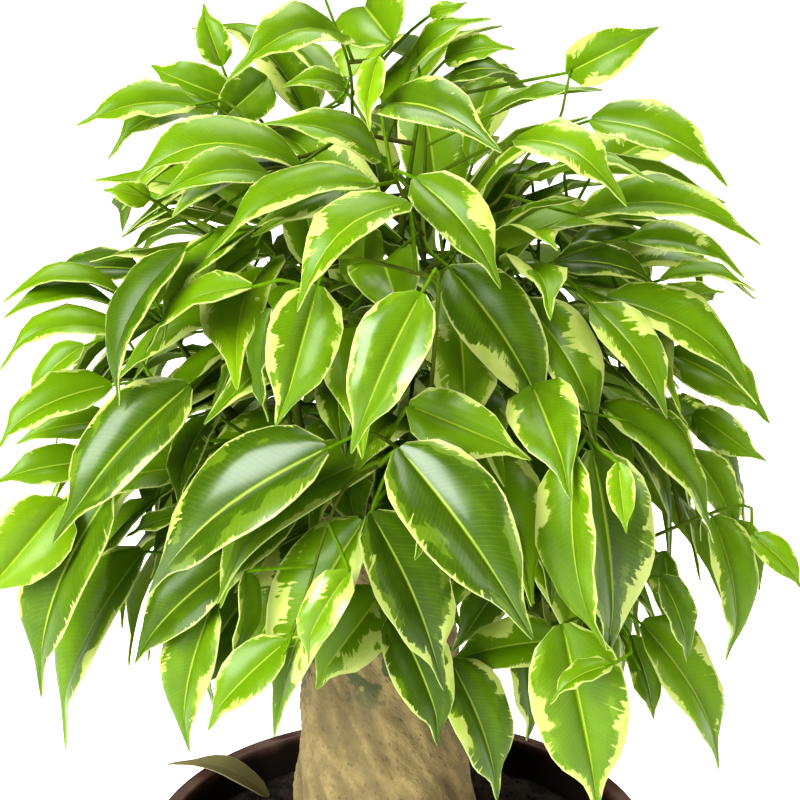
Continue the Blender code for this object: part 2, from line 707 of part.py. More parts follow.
    def fits(self, leaf):
        """True where a leaf keeps inside the crown's outline and out of its open gaps."""
        if min(leaf.base.z, leaf.tip.z) < self.LOWEST:
            return False
        for s in (0.0, 0.3, 0.6, 1.0):
            pixel = in_frame(blade_frame(leaf, s)[0])
            if not inside(CROWN_OUTLINE, pixel):
                return False
            for x, y, radius in OPEN_GAPS:
                if math.hypot(pixel[0] - x, pixel[1] - y) < radius:
                    return False
        return True

    def add_fill(self):
        """Add the leaves that make the crown whole all round."""
        for index in range(FILL_COUNT):
            for attempt in range(FILL_TRIES):
                leaf = self.fill_leaf(index, attempt)
                if not self.fits(leaf):
                    continue
                solid = Solid(leaf_skin(leaf, self.CLEAR), -3, False)
                if not self.is_clear(solid) or self.hides(solid):
                    continue
                if self.join(leaf):
                    self.leaves.append(leaf)
                    break


def fallen_leaf():
    """The dry leaf that lies on the soil and over the rim, at the left."""
    base = Vector((-0.0460, 0.0410, SOIL_LEVEL + 0.0017))
    tip = Vector((-0.0815, 0.0405, POT_HEIGHT + 0.0020))
    return Leaf(base, tip, Vector((0.1, 0.0, 1.0)), 0.015, 0.15, fold=0.10)


def material(name, colour, roughness):
    """Plain finish for one kind of piece."""
    made = bpy.data.materials.new(name)
    made.use_nodes = True
    shader = made.node_tree.nodes["Principled BSDF"]
    shader.inputs["Base Color"].default_value = (*colour, 1.0)
    shader.inputs["Roughness"].default_value = roughness
    shader.inputs["Metallic"].default_value = 0.0
    return made


def add_object(name, mesh, collection, finish=None):
    """Object of a mesh in a collection."""
    made = bpy.data.objects.new(name, mesh)
    collection.objects.link(made)
    if finish is not None:
        made.data.materials.append(finish)
    return made


def mesh_of(name, skin):
    """Mesh of vertices and faces."""
    vertices, faces = skin
    made = bpy.data.meshes.new(name)
    made.from_pydata([tuple(v) for v in vertices], [], faces)
    made.update()
    return made


def evaluated_mesh(source):
    """A plain mesh of an object with its modifiers applied."""
    bpy.context.view_layer.update()
    graph = bpy.context.evaluated_depsgraph_get()
    return bpy.data.meshes.new_from_object(source.evaluated_get(graph))


def arc(centre, radius, start, end, count):
    """Points along an arc in the XZ plane, by angles in degrees."""
    points = []
    for step in range(count + 1):
        turn = math.radians(start + (end - start) * step / count)
        points.append((centre[0] + radius * math.cos(turn), centre[1] + radius * math.sin(turn)))
    return points


def turned(name, profile, steps, collection, finish):
    """Solid turned about Z from a profile in the XZ plane."""
    mesh = bpy.data.meshes.new(name)
    edges = [(step, step + 1) for step in range(len(profile) - 1)]
    mesh.from_pydata([(x, 0.0, z) for x, z in profile], edges, [])
    made = add_object(name, mesh, collection, finish)
    screw = made.modifiers.new("Turn", "SCREW")
    screw.axis = "Z"
    screw.steps = steps
    screw.render_steps = steps
    screw.use_merge_vertices = True
    screw.merge_threshold = 0.00001
    return made


def fix_mesh(source, name, collection, finish):
    """Replace an object by its evaluated mesh, so that its points can be moved."""
    mesh = evaluated_mesh(source)
    bpy.data.objects.remove(source, do_unlink=True)
    mesh.materials.clear()
    return add_object(name, mesh, collection, finish)


def cut(target, cutter):
    """Cut one object out of another."""
    cutter.hide_render = True
    cutter.display_type = "WIRE"
    boolean = target.modifiers.new("Cut " + cutter.name, "BOOLEAN")
    boolean.operation = "DIFFERENCE"
    boolean.object = cutter


def cylinder_mesh(name, radius, low, high, sides):
    """Upright cylinder on the Z axis."""
    mesh = bpy.data.meshes.new(name)
    shape = bmesh.new()
    bmesh.ops.create_cone(
        shape, cap_ends=True, segments=sides, radius1=radius, radius2=radius, depth=high - low)
    bmesh.ops.translate(shape, verts=shape.verts, vec=(0.0, 0.0, 0.5 * (low + high)))
    shape.to_mesh(mesh)
    shape.free()
    return mesh


def shade_round(made):
    """Smooth shading with its sharp edges kept."""
    made.data.shade_smooth()
    made.data.set_sharp_from_angle(angle=math.radians(35))


def pot_outer(z):
    """Outer radius of the pot's wall at a height."""
    return POT_FOOT_RADIUS + (POT_RIM_RADIUS - RIM_PROUD - POT_FOOT_RADIUS) * z / POT_HEIGHT


def pot_inner(z):
    """Inner radius of the pot's wall at a height."""
    return pot_outer(z) - POT_WALL


def build_pot(parts, cutters):
    """Turned pot with a rim band and drainage holes."""
    finish = material("pot plastic", (0.045, 0.018, 0.012), 0.42)
    rim_low = POT_HEIGHT - RIM_HEIGHT
    top = POT_HEIGHT - RIM_ROUND
    profile = [(0.0, POT_FLOOR), (pot_inner(POT_FLOOR), POT_FLOOR)]
    profile += arc((pot_inner(top) + RIM_ROUND, top), RIM_ROUND, 180, 90, 2)
    profile += arc((POT_RIM_RADIUS - RIM_ROUND, top), RIM_ROUND, 90, 0, 2)
    profile += [(POT_RIM_RADIUS, rim_low), (pot_outer(rim_low), rim_low)]
    profile += arc((pot_outer(FOOT_ROUND) - FOOT_ROUND, FOOT_ROUND), FOOT_ROUND, 0, -90, 2)
    profile.append((0.0, 0.0))
    pot = turned("pot", profile, TURN_STEPS, parts, finish)
    for index in range(DRAIN_COUNT):
        hole = cylinder_mesh("drain", DRAIN_RADIUS, -POT_FLOOR, 2.0 * POT_FLOOR, 12)
        drain = add_object(f"drain_{index + 1}", hole, cutters)
        turn = 2.0 * math.pi * (index + 0.5) / DRAIN_COUNT
        drain.location = (DRAIN_RING * math.cos(turn), DRAIN_RING * math.sin(turn), 0.0)
        cut(pot, drain)
    shade_round(pot)


def soil_height(radius):
    """Height of the soil before its lumps: a low mound towards the trunk."""
    share = min(radius / pot_inner(SOIL_LEVEL), 1.0)
    return SOIL_LEVEL + SOIL_MOUND * (1.0 - share * share)


def soil_lump(x, y):
    """Rise and fall of the soil's lumps at a place."""
    return SOIL_LUMP * (
        math.sin(310 * x + 1.3) * math.sin(270 * y + 0.4)
        + 0.7 * math.sin(520 * x - 190 * y)
        + 0.6 * math.sin(230 * x + 610 * y + 2.0)
    )


def build_soil(parts, cutters):
    """Soil that fills the pot, with a plain hole for the trunk."""
    finish = material("soil", (0.012, 0.009, 0.007), 0.95)
    edge = pot_inner(SOIL_LEVEL) - GAP
    profile = [(edge * step / SOIL_RINGS, 0.0) for step in range(SOIL_RINGS + 1)]
    profile = [(x, soil_height(x)) for x, _ in profile]
    floor = POT_FLOOR + GAP
    profile += [(pot_inner(floor) - GAP, floor), (0.0, floor)]
    soil = fix_mesh(turned("soil", profile, TURN_STEPS, parts, finish), "soil", parts, finish)
    for vertex in soil.data.vertices:
        x, y, z = vertex.co
        far = math.hypot(x, y)
        if z > SOIL_LEVEL - 0.001 and far < edge - 0.002:
            hole = math.hypot(x - TRUNK_X, y)
            vertex.co.z += soil_lump(x, y) * smooth(TRUNK_HOLE, TRUNK_HOLE + 0.012, hole)
    hole = cylinder_mesh("trunk_hole", TRUNK_HOLE, TRUNK_FOOT - GAP, POT_HEIGHT + 0.02, TRUNK_SIDES)
    trunk_hole = add_object("trunk_hole", hole, cutters)
    trunk_hole.location.x = TRUNK_X
    cut(soil, trunk_hole)


def trunk_radius(z):
    """Radius of the trunk before its ribs."""
    flare = 0.0055 * (1.0 - smooth(SOIL_LEVEL, SOIL_LEVEL + 0.055, z))
    taper = 0.0262 - 0.0044 * smooth(0.150, TRUNK_TOP, z)
    swell = 0.0016 * smooth(0.228, 0.252, z)
    return flare + taper + swell


def trunk_rib(turn, z):
    """Share by which twisted ribs and hollows move the trunk's surface."""
    twist = turn + 6.0 * (z - 0.13)
    return (
        0.034 * math.sin(5.0 * twist + 0.8)
        + 0.022 * math.sin(9.0 * twist - 26.0 * z)
        + 0.016 * math.sin(3.0 * turn - 48.0 * z + 1.0)
    )


def build_trunk(parts):
    """Ribbed trunk with the stubs of its limbs."""
    finish = material("bark", (0.42, 0.33, 0.20), 0.85)
    count = round((TRUNK_TOP - RIB_START) / TRUNK_STEP)
    heights = [TRUNK_TOP - (TRUNK_TOP - RIB_START) * step / count for step in range(count + 1)]
    profile = [(0.0, TRUNK_TOP + 0.003), (0.6 * trunk_radius(TRUNK_TOP), TRUNK_TOP + 0.002)]
    profile += [(trunk_radius(z), z) for z in heights]
    profile += [(TRUNK_SOIL_RADIUS, RIB_START - 0.001), (TRUNK_SOIL_RADIUS, TRUNK_FOOT), (0.0, TRUNK_FOOT)]
    trunk = fix_mesh(turned("trunk", profile, TRUNK_SIDES, parts, finish), "trunk", parts, finish)
    for vertex in trunk.data.vertices:
        x, y, z = vertex.co
        if z > RIB_START:
            grow = 1.0 + trunk_rib(math.atan2(y, x), z) * smooth(RIB_START, RIB_FULL, z)
            vertex.co.x = x * grow
            vertex.co.y = y * grow
        vertex.co.x += TRUNK_X
    stubs = bpy.data.collections.new("stubs")
    bpy.context.scene.collection.children.link(stubs)
    for index, limb in enumerate(LIMBS):
        inner, outer, out = stub_ends(limb)
        root = inner + (outer - inner) * 0.25
        length = (outer - root).length
        mesh = bpy.data.meshes.new("stub")
        shape = bmesh.new()
        bmesh.ops.create_cone(
            shape, cap_ends=True, segments=6, radius1=1.35 * STUB_RADIUS, radius2=STUB_RADIUS, depth=length)
        bmesh.ops.translate(shape, verts=shape.verts, vec=(0.0, 0.0, 0.5 * length))
        shape.to_mesh(mesh)
        shape.free()
        stub = add_object(f"stub_{index + 1}", mesh, stubs)
        stub.rotation_mode = "QUATERNION"
        stub.rotation_quaternion = out.to_track_quat("Z", "Y")
        stub.location = root
    join_collection(trunk, stubs)
    shade_round(trunk)


def skins(shape):
    """Faces of a mesh in groups that hang together across edges, the largest first."""
    waiting = set(shape.faces)
    groups = []
    while waiting:
        front = [waiting.pop()]
        group = list(front)
        while front:
            near = {other for edge in front.pop().edges for other in edge.link_faces} & waiting
            waiting -= near
            front.extend(near)
            group.extend(near)
        groups.append(group)
    return sorted(groups, key=len, reverse=True)


def solid_of(mesh):
    """Fill hollows that fusing sealed and drop loose scraps; true if one closed body is left."""
    shape = bmesh.new()
    shape.from_mesh(mesh)
    bmesh.ops.triangulate(shape, faces=shape.faces)
    for group in skins(shape)[1:]:
        bmesh.ops.delete(shape, geom=group, context="FACES")
    loose = [vertex for vertex in shape.verts if not vertex.link_faces]
    bmesh.ops.delete(shape, geom=loose, context="VERTS")
    closed = all(len(edge.link_faces) == 2 for edge in shape.edges)
    shape.to_mesh(mesh)
    shape.free()
    return closed


def join_collection(target, collection):
    """Fuse every object of a collection to a target, then remove the collection."""
    boolean = target.modifiers.new("Join", "BOOLEAN")
    boolean.operation = "UNION"
    boolean.operand_type = "COLLECTION"
    boolean.collection = collection
    mesh = evaluated_mesh(target)
    if not solid_of(mesh):
        boolean.solver = "MANIFOLD"
        mesh = evaluated_mesh(target)
        solid_of(mesh)
    target.modifiers.remove(boolean)
    old = target.data
    target.data = mesh
    bpy.data.meshes.remove(old)
    for made in list(collection.objects):
        bpy.data.objects.remove(made, do_unlink=True)
    bpy.data.collections.remove(collection)


def stem_mesh(name, twig):
    """Mesh of one stem: a curve with a round bevel that thins along its points."""
    curve = bpy.data.curves.new(name, "CURVE")
    curve.dimensions = "3D"
    curve.bevel_depth = 1.0
    curve.bevel_resolution = 0
    curve.use_fill_caps = True
    spline = curve.splines.new("POLY")
    spline.points.add(len(twig.points) - 1)
    for knot, place, radius in zip(spline.points, twig.points, twig.radii):
        knot.co = (*place, 1.0)
        knot.radius = radius
    holder = bpy.data.objects.new(name, curve)
    bpy.context.scene.collection.objects.link(holder)
    mesh = evaluated_mesh(holder)
    bpy.data.objects.remove(holder, do_unlink=True)
    bpy.data.curves.remove(curve)
    shape = bmesh.new()
    shape.from_mesh(mesh)
    bmesh.ops.remove_doubles(shape, verts=shape.verts, dist=0.00001)
    shape.to_mesh(mesh)
    shape.free()
    return mesh


def build_branch(index, crown, parts, finish):
    """One leafy branch: its limb, twigs and leaves fused to one solid."""
    name = f"leafy_branch_{index + 1:02d}"
    twigs = [twig for twig in crown.twigs if twig.branch == index]
    leaves = [leaf for leaf in crown.leaves if leaf.branch == index]
    branch = add_object(name, stem_mesh(name, twigs[0]), parts, finish)
    pieces = bpy.data.collections.new("pieces")
    bpy.context.scene.collection.children.link(pieces)
    for twig in twigs[1:]:
        add_object("twig", stem_mesh("twig", twig), pieces)
    for leaf in leaves:
        add_object("leaf", mesh_of("leaf", leaf_skin(leaf)), pieces)
    join_collection(branch, pieces)


def build_fallen_leaf(parts):
    """The dry leaf as a solid of its own."""
    finish = material("dry leaf", (0.42, 0.40, 0.22), 0.6)
    add_object("fallen_leaf", mesh_of("fallen_leaf", leaf_skin(fallen_leaf())), parts, finish)


def main():
    """Build every piece of the plant."""
    for made in list(bpy.data.objects):
        bpy.data.objects.remove(made, do_unlink=True)
    parts = bpy.data.collections.new("potted_weeping_fig")
    cutters = bpy.data.collections.new("cutters")
    for collection in (parts, cutters):
        bpy.context.scene.collection.children.link(collection)
    build_pot(parts, cutters)
    build_soil(parts, cutters)
    build_trunk(parts)
    build_fallen_leaf(parts)
    crown = Crown()
    crown.plan()
    finish = material("foliage", (0.10, 0.26, 0.04), 0.40)
    for index in range(len(LIMBS)):
        build_branch(index, crown, parts, finish)
    return crown


if __name__ == "__main__":
    main()
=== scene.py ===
"""Looks of a potted weeping fig with cream-edged leaves, dressed over its CAD frame.

Metres, +Z up. The plan of limbs, twigs and leaves is laid out again here by the same rule as the
solids, so every fine leaf lies in the room of its solid; small inner leaves and buds come on top.
"""

import logging
import math
import random
from collections.abc import Iterable, Iterator
from dataclasses import astuple, dataclass, field
from enum import Enum

import bmesh
import bpy
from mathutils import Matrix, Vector, noise
from mathutils.bvhtree import BVHTree


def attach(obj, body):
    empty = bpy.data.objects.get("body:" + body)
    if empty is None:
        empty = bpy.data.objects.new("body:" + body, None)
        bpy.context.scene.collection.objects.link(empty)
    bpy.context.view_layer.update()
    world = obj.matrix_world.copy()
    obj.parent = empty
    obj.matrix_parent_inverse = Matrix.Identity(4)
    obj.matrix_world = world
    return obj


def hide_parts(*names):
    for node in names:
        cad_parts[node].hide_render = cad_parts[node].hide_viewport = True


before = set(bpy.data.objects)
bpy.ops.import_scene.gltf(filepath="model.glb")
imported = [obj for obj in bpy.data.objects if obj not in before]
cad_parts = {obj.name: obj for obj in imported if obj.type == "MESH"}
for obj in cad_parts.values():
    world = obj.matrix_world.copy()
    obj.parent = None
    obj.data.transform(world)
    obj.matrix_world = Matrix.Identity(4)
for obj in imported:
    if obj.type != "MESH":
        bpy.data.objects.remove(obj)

LOG = logging.getLogger("fig")
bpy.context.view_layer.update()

# Clearance that neighbouring pieces keep
GAP = 0.0003

# Marks that stand where a leafy branch's index may: the trunk's, none, and a blade's with no stalk
TRUNK = -1
NO_BRANCH = -2
LOOSE = -3

# Sizes of the pot, soil and trunk that the crown's plan reads as well
POT_HEIGHT = 0.1475
SOIL_LEVEL = 0.135
SOIL_MOUND = 0.0045
TRUNK_X = -0.0055
TRUNK_TOP = 0.262
TRUNK_FOOT = 0.090
TRUNK_FOOT_RADIUS = 0.0305

# Limbs and twigs
STUB_RADIUS = 0.0052
STUB_LENGTH = 0.0075
STUB_START = 0.024
LIMB_RADIUS = 0.0047
LIMB_END_RADIUS = 0.0014
LIMB_POINTS = 8
TWIG_RADIUS = 0.0011
TWIG_END_RADIUS = 0.0008

# Leaves
BLADE_THICK = 0.0013
BLADE_STATIONS = (0.15, 0.42, 0.74)
PLAIN_STATIONS = (0.20, 0.62)
STALK_RADIUS = 0.0007
STALK_LENGTH = 0.011
BLADE_RATIO = 0.46
BLADE_FOLD = 0.26
BLADE_START = 0.03
SIDE_VEINS = 42.0
CROWN_CENTRE = Vector((0.0, 0.0, 0.285))
CROWN_SEED = 7
FILL_COUNT = 166
FILL_TRIES = 9

# The viewer's eye, for the leaves that are placed by where they show in a frame of 800 by 800
EYE = Vector((0.0, -0.4675, 0.4154))
EYE_PITCH = math.radians(14.8)
EYE_FOCAL = 1600.0
FRAME_MIDDLE = 400.0
EYE_FORWARD = Vector((0.0, math.cos(EYE_PITCH), -math.sin(EYE_PITCH)))
EYE_UP = Vector((0.0, math.sin(EYE_PITCH), math.cos(EYE_PITCH)))


@dataclass
class Limb:
    """Main stem of a leafy branch: how it leaves the trunk and where it ends."""

    heading: float
    height: float
    rise: float
    end_heading: float
    end_radius: float
    end_height: float


@dataclass(frozen=True)
class Look:
    """Colouring of one blade.

    The right and left hand are those of someone who walks from its base to its tip. Tone runs
    from 0, old and dark, to 1, young and yellow-green. Margins are shares of the half width.
    """

    tone: float
    right: float = 0.17
    left: float = 0.17
    patch_at: float = 0.0
    patch_right: float = 0.0
    patch_left: float = 0.0
    # Widens the pale zone beside the cream, partly grey-green tissue and partly painted sheen, and
    # thickens the wax coat
    grey_sheen: float = 0.3


@dataclass
class Seen:
    """A leaf as the viewer sees it, with its colouring."""

    base: tuple
    tip: tuple
    reach: tuple
    width: float
    arch: float
    look: Look
    turn: int
    ratio: float


def seen_row(ends: tuple, reach: tuple, width: int, arch: int, look: tuple, turn: int = 1,
             ratio: float = BLADE_RATIO) -> Seen:
    """A leaf that shows, from its row in SEEN_LEAVES."""
    return Seen(ends[:2], ends[2:], tuple(near / 1000 for near in reach), width, arch / 100,
                Look(*(value / 100 for value in look)), turn, ratio)


@dataclass
class Leaf:
    """One blade with its stalk."""

    base: Vector
    tip: Vector
    face: Vector
    width: float
    arch: float
    fold: float = BLADE_FOLD
    stations: tuple = BLADE_STATIONS
    branch: int = -1
    stalk: list = field(default_factory=list)
    radii: list = field(default_factory=list)
    row: int = -1


@dataclass
class Twig:
    """A woody stem with a radius at each of its points."""

    points: list
    radii: list
    branch: int


LIMBS = (
    Limb(-92, 0.240, 30, -88, 0.068, 0.246),
    Limb(-34, 0.241, 28, -32, 0.072, 0.238),
    Limb(28, 0.239, 30, 26, 0.072, 0.240),
    Limb(88, 0.241, 28, 90, 0.072, 0.238),
    Limb(150, 0.240, 30, 152, 0.072, 0.240),
    Limb(-150, 0.241, 28, -148, 0.072, 0.236),
    Limb(-62, 0.232, 50, -60, 0.064, 0.312),
    Limb(-2, 0.231, 52, 2, 0.068, 0.318),
    Limb(58, 0.232, 50, 66, 0.066, 0.322),
    Limb(119, 0.231, 52, 128, 0.066, 0.318),
    Limb(-179, 0.232, 50, -172, 0.068, 0.316),
    Limb(-121, 0.231, 52, -116, 0.062, 0.318),
    Limb(-60, 0.262, 86, -75, 0.016, 0.372),
)

# Stems that show between the leaves: place in the frame and millimetres of reach at each point
SEEN_STEMS = (
    ((400, 455, 80), (345, 482, 90), (325, 530, 97), (305, 600, 99), (290, 640, 98)),
    ((500, 300, 30), (545, 265, 36), (580, 250, 34), (622, 238, 30)),
    ((215, 240, 35), (180, 218, 45), (152, 200, 50)),
    ((424, 190, 20), (426, 140, 22), (420, 80, 22)),
    ((500, 200, 18), (530, 150, 26), (560, 122, 30), (566, 92, 31)),
    ((205, 375, 60), (180, 405, 66), (158, 432, 68)),
    ((352, 120, 20), (352, 70, 36), (330, 12, 40)),
    ((505, 385, 56), (550, 405, 64), (600, 415, 72)),
    ((600, 590, 58), (618, 630, 68), (632, 655, 82)),
    ((330, 520, 58), (285, 542, 64), (255, 560, 68)),
    ((270, 150, 0), (235, 120, -6), (205, 98, -8)),
)

# Leaves that show: base and tip in the frame, millimetres of reach at each end, pixels across,
# hundredths of arch, hundredths for the values of its Look and, where they differ from most, the
# side to which it rolls and its least width as a share of its length
SEEN_LEAVES = tuple(seen_row(*row) for row in (
    ((422, 292, 351, 454), (98, 105), 75, 6, (34, 8, 9, 50, 20, 30, 85)),
    ((398, 447, 534, 641), (100, 115), 102, 8, (14, 10, 9, 86, 0, 25, 90)),
    ((329, 448, 146, 598), (95, 85), 85, 10, (12, 10, 8, 68, 55, 0, 85)),
    ((410, 203, 296, 314), (85, 100), 52, 22, (36, 26, 16, 62, 45, 0)),
    ((318, 285, 278, 430), (90, 98), 76, 8, (34, 32, 14)),
    ((272, 308, 264, 424), (85, 88), 20, 5, (16, 10, 10), -1),
    ((450, 268, 552, 429), (75, 85), 80, 10, (19, 12, 10, 56, 62, 0)),
    ((415, 178, 503, 288), (70, 80), 60, 16, (33, 10, 18, 55, 0, 80)),
    ((380, 105, 503, 152), (60, 85), 56, 14, (23, 12, 20, 30, 0, 20, 60)),
    ((393, 43, 366, 8), (36, -10), 80, 10, (41, 16, 14)),
    ((345, 40, 226, 79), (45, 70), 52, 22, (37, 14, 16)),
    ((378, 57, 364, 130), (65, 75), 30, 5, (72, 20, 20, 92, 50, 50), 1, 0.4),
    ((125, 298, 0, 297), (30, 45), 22, 17, (56, 10, 8)),
    ((115, 305, 0, 314), (30, 50), 24, 12, (52, 8, 10)),
    ((125, 335, -8, 366), (45, 55), 32, 20, (54, 12, 8)),
    ((140, 270, 40, 280), (0, 0), 34, 10, (10, 8, 8)),
    ((85, 345, 28, 410), (20, 20), 27, 12, (49, 10, 10)),
    ((190, 385, 55, 545), (75, 85), 75, 8, (17, 6, 7, 12, 30, 5, 70)),
    ((185, 250, 113, 407), (75, 82), 38, 13, (11, 10, 8)),
    ((255, 228, 155, 340), (66, 72), 28, 12, (37,)),
    ((258, 248, 200, 300), (60, 66), 28, 12, (37, 20, 12)),
    ((253, 287, 147, 352), (85, 80), 24, 16, (56, 18, 10)),
    ((375, 185, 205, 262), (68, 75), 38, 16, (37, 14, 18)),
    ((345, 186, 255, 230), (55, 62), 40, 12, (36, 14, 14, 82, 50, 50)),
    ((268, 175, 155, 197), (55, 70), 40, 15, (41, 16, 12)),
    ((300, 165, 113, 197), (35, 45), 48, 22, (40, 12, 10)),
    ((150, 198, 103, 187), (50, 55), 28, 5, (67, 14, 14)),
    ((195, 105, 76, 127), (0, 10), 38, 12, (41,)),
    ((215, 110, 102, 153), (-10, 4), 34, 15, (36, 18, 12)),
    ((232, 100, 146, 66), (-20, -24), 48, 12, (40, 10, 12, 40, 0, 0, 20)),
    ((268, 78, 208, 132), (-12, -4), 54, 12, (27, 12, 12)),
    ((222, 66, 200, 4), (-26, -30), 36, 8, (54, 20, 16)),
    ((380, 160, 262, 124), (30, 40), 38, 14, (40,)),
    ((345, 88, 280, 85), (10, 16), 24, 16, (41,)),
    ((567, 73, 661, 26), (30, 35), 52, 16, (40, 14, 16, 25, 30, 60)),
    ((490, 115, 603, 90), (20, 30), 14, 6, (37,)),
    ((515, 140, 625, 210), (60, 72), 46, 24, (58, 30, 28)),
    ((590, 120, 731, 184), (20, 30), 48, 14, (39, 10, 22, 74, 0, 65)),
    ((577, 215, 764, 243), (25, 35), 44, 15, (40, 8, 22, 62, 0, 55)),
    ((628, 240, 748, 275), (24, 30), 30, 12, (41, 10, 24, 50, 0, 70)),
    ((660, 280, 755, 292), (20, 24), 18, 15, (44,)),
    ((555, 262, 662, 285), (30, 34), 36, 12, (11, 10, 10)),
    ((605, 298, 758, 406), (45, 55), 52, 15, (37, 18, 16)),
    ((522, 300, 603, 442), (65, 80), 64, 12, (33, 12, 16, 42, 0, 80)),
    ((592, 305, 669, 420), (50, 60), 50, 12, (36, 12, 16, 28, 35, 85)),
    ((668, 352, 776, 420), (8, 18), 54, 14, (41,)),
    ((694, 412, 766, 464), (14, 24), 42, 10, (40,)),
    ((592, 448, 612, 663), (80, 85), 86, 6, (20, 8, 22, 66, 0, 75, 90)),
    ((575, 455, 602, 655), (92, 99), 60, 8, (36, 16, 8, 22, 45, 0, 30), -1),
    ((533, 386, 577, 497), (70, 102), 76, 10, (30, 10, 10, 30, 30, 25, 20)),
    ((618, 462, 626, 535), (100, 103), 30, 5, (66, 14, 14), 1, 0.4),
    ((408, 405, 534, 457), (85, 92), 65, 10, (44, 16, 14, 86, 70, 70)),
    ((370, 512, 443, 691), (88, 90), 80, 8, (12, 12, 12, 72, 35, 75, 60)),
    ((392, 612, 445, 747), (75, 78), 66, 10, (12, 10, 12, 50, 0, 30, 40)),
    ((450, 660, 498, 802), (70, 68), 62, 8, (22, 28, 28)),
    ((562, 622, 600, 812), (85, 82), 100, 6, (36, 14, 16, 80, 60, 50, 50)),
    ((562, 640, 437, 665), (65, 70), 55, 10, (40, 20, 10, 50, 70, 0)),
    ((612, 665, 547, 702), (94, 99), 25, 12, (49,)),
    ((287, 641, 201, 729), (94, 97), 50, 6, (46, 12, 14, 60, 20, 35, 50)),
    # The next leaf's wide pale patch and grey zone are painted sheen
    ((350, 571, 300, 663), (104, 106), 45, 10, (58, 16, 20, 30, 65, 80, 90)),
    ((365, 520, 274, 735), (86, 88), 75, 8, (42, 30, 20, 50, 55, 35)),
    ((385, 455, 215, 605), (82, 86), 60, 15, (60, 16, 12, 62, 50, 0)),
    ((300, 500, 215, 605), (76, 80), 50, 12, (50, 26, 12)),
    ((386, 588, 309, 690), (66, 70), 72, 10, (48, 14, 50, 55, 0, 80, 20)),
    ((516, 610, 528, 745), (60, 62), 50, 8, (15, 22, 10)),
    ((245, 570, 227, 670), (78, 80), 24, 8, (59, 18, 16), -1),
    ((235, 560, 131, 664), (70, 72), 60, 10, (14, 10, 10)),
    ((215, 600, 184, 755), (60, 62), 55, 8, (33, 14, 14)),
    ((112, 490, 38, 698), (55, 58), 70, 10, (22, 12, 12)),
    ((145, 550, 58, 748), (40, 42), 50, 8, (33, 14, 18)),
    ((65, 500, -20, 600), (60, 65), 78, 8, (66, 10, 8, 40, 0, 0, 20)),
    ((112, 385, -12, 447), (50, 60), 46, 12, (50, 12, 10, 40, 0, 0, 20)),
    ((112, 422, 14, 440), (40, 44), 36, 8, (59, 8, 8)),
    ((92, 462, -8, 482), (45, 50), 42, 10, (50, 10, 10, 40, 0, 0, 20)),
    ((185, 468, 70, 500), (60, 64), 42, 10, (59, 8, 12)),
    ((182, 440, 95, 468), (52, 56), 34, 10, (57, 10, 8)),
    ((185, 515, 125, 538), (50, 54), 20, 8, (33, 16, 16)),
    ((640, 622, 722, 768), (60, 56), 56, 8, (46, 10, 22, 74, 0, 50, 30)),
    ((660, 575, 688, 666), (65, 66), 32, 8, (22, 10, 10)),
    ((665, 550, 690, 640), (50, 52), 32, 8, (33, 20, 12), -1),
    ((712, 515, 733, 662), (40, 42), 44, 8, (37,)),
    ((735, 520, 760, 590), (30, 32), 27, 8, (39,)),
    ((752, 534, 805, 590), (45, 50), 32, 10, (59, 16, 16)),
    ((630, 635, 653, 720), (52, 53), 36, 8, (37,)),
    ((600, 405, 715, 545), (55, 60), 40, 12, (33, 12, 18)),
    ((650, 410, 695, 490), (50, 54), 40, 8, (22, 12, 10)),
    ((690, 450, 738, 545), (35, 40), 38, 10, (37,)),
    ((410, 70, 490, 15), (20, 28), 26, 12, (40,)),
    ((445, 60, 516, 48), (18, 26), 30, 14, (41,)),
    ((450, 78, 518, 72), (20, 30), 26, 12, (11, 8, 8)),
    ((430, 15, 468, 6), (20, 24), 18, 10, (59,)),
    ((522, 562, 455, 655), (44, 48), 50, 10, (23, 12, 12)),
))

# Outline of the crown in the frame, which the other leaves keep inside, and gaps left open in it
CROWN_OUTLINE = (
    (190, 14), (250, -30), (330, -60), (440, -60), (512, -20), (528, 40), (560, 104), (650, 120),
    (731, 184), (764, 240), (762, 300), (785, 360), (785, 440), (762, 500), (762, 590), (740, 660),
    (724, 768), (668, 730), (640, 690), (612, 800), (580, 800), (500, 800), (476, 690), (440, 668),
    (330, 668), (262, 690), (190, 750), (136, 668), (100, 690), (58, 750), (30, 700), (-40, 620),
    (-60, 520), (-60, 330), (0, 268), (92, 250), (98, 200), (74, 130), (150, 66),
)
OPEN_GAPS = (
    (533, 118, 22), (688, 358, 26), (300, 102, 14), (338, 168, 10), (60, 380, 20), (128, 520, 18),
    (110, 600, 24), (560, 190, 8), (590, 160, 8), (270, 720, 26), (745, 500, 14),
)


def outward(heading: float, rise: float) -> Vector:
    """Unit vector at a heading round from +X and a rise over level, both in radians."""
    flat = math.cos(rise)
    return Vector((flat * math.cos(heading), flat * math.sin(heading), math.sin(rise)))


def direction(heading: float, rise: float) -> Vector:
    """Unit vector at a heading round from +X and a rise over level, both in degrees."""
    return outward(math.radians(heading), math.radians(rise))


def sight(pixel: tuple, reach: float) -> Vector:
    """Point seen at a pixel, on the upright plane that stands a reach in front of the middle.

    Args:
        pixel: Place in the frame.
        reach: Metres in front of the middle.

    Returns:
        The point in metres.
    """
    across = (pixel[0] - FRAME_MIDDLE) / EYE_FOCAL
    above = (FRAME_MIDDLE - pixel[1]) / EYE_FOCAL
    ray = EYE_FORWARD + Vector((across, 0.0, 0.0)) + EYE_UP * above
    return EYE + ray * ((-reach - EYE.y) / ray.y)


def in_frame(point: Vector) -> tuple[float, float]:
    """Pixel at which a point shows.

    Args:
        point: Place in metres.

    Returns:
        Its place in the frame.
    """
    offset = point - EYE
    depth = offset.dot(EYE_FORWARD)
    return (
        FRAME_MIDDLE + EYE_FOCAL * offset.x / depth,
        FRAME_MIDDLE - EYE_FOCAL * offset.dot(EYE_UP) / depth,
    )


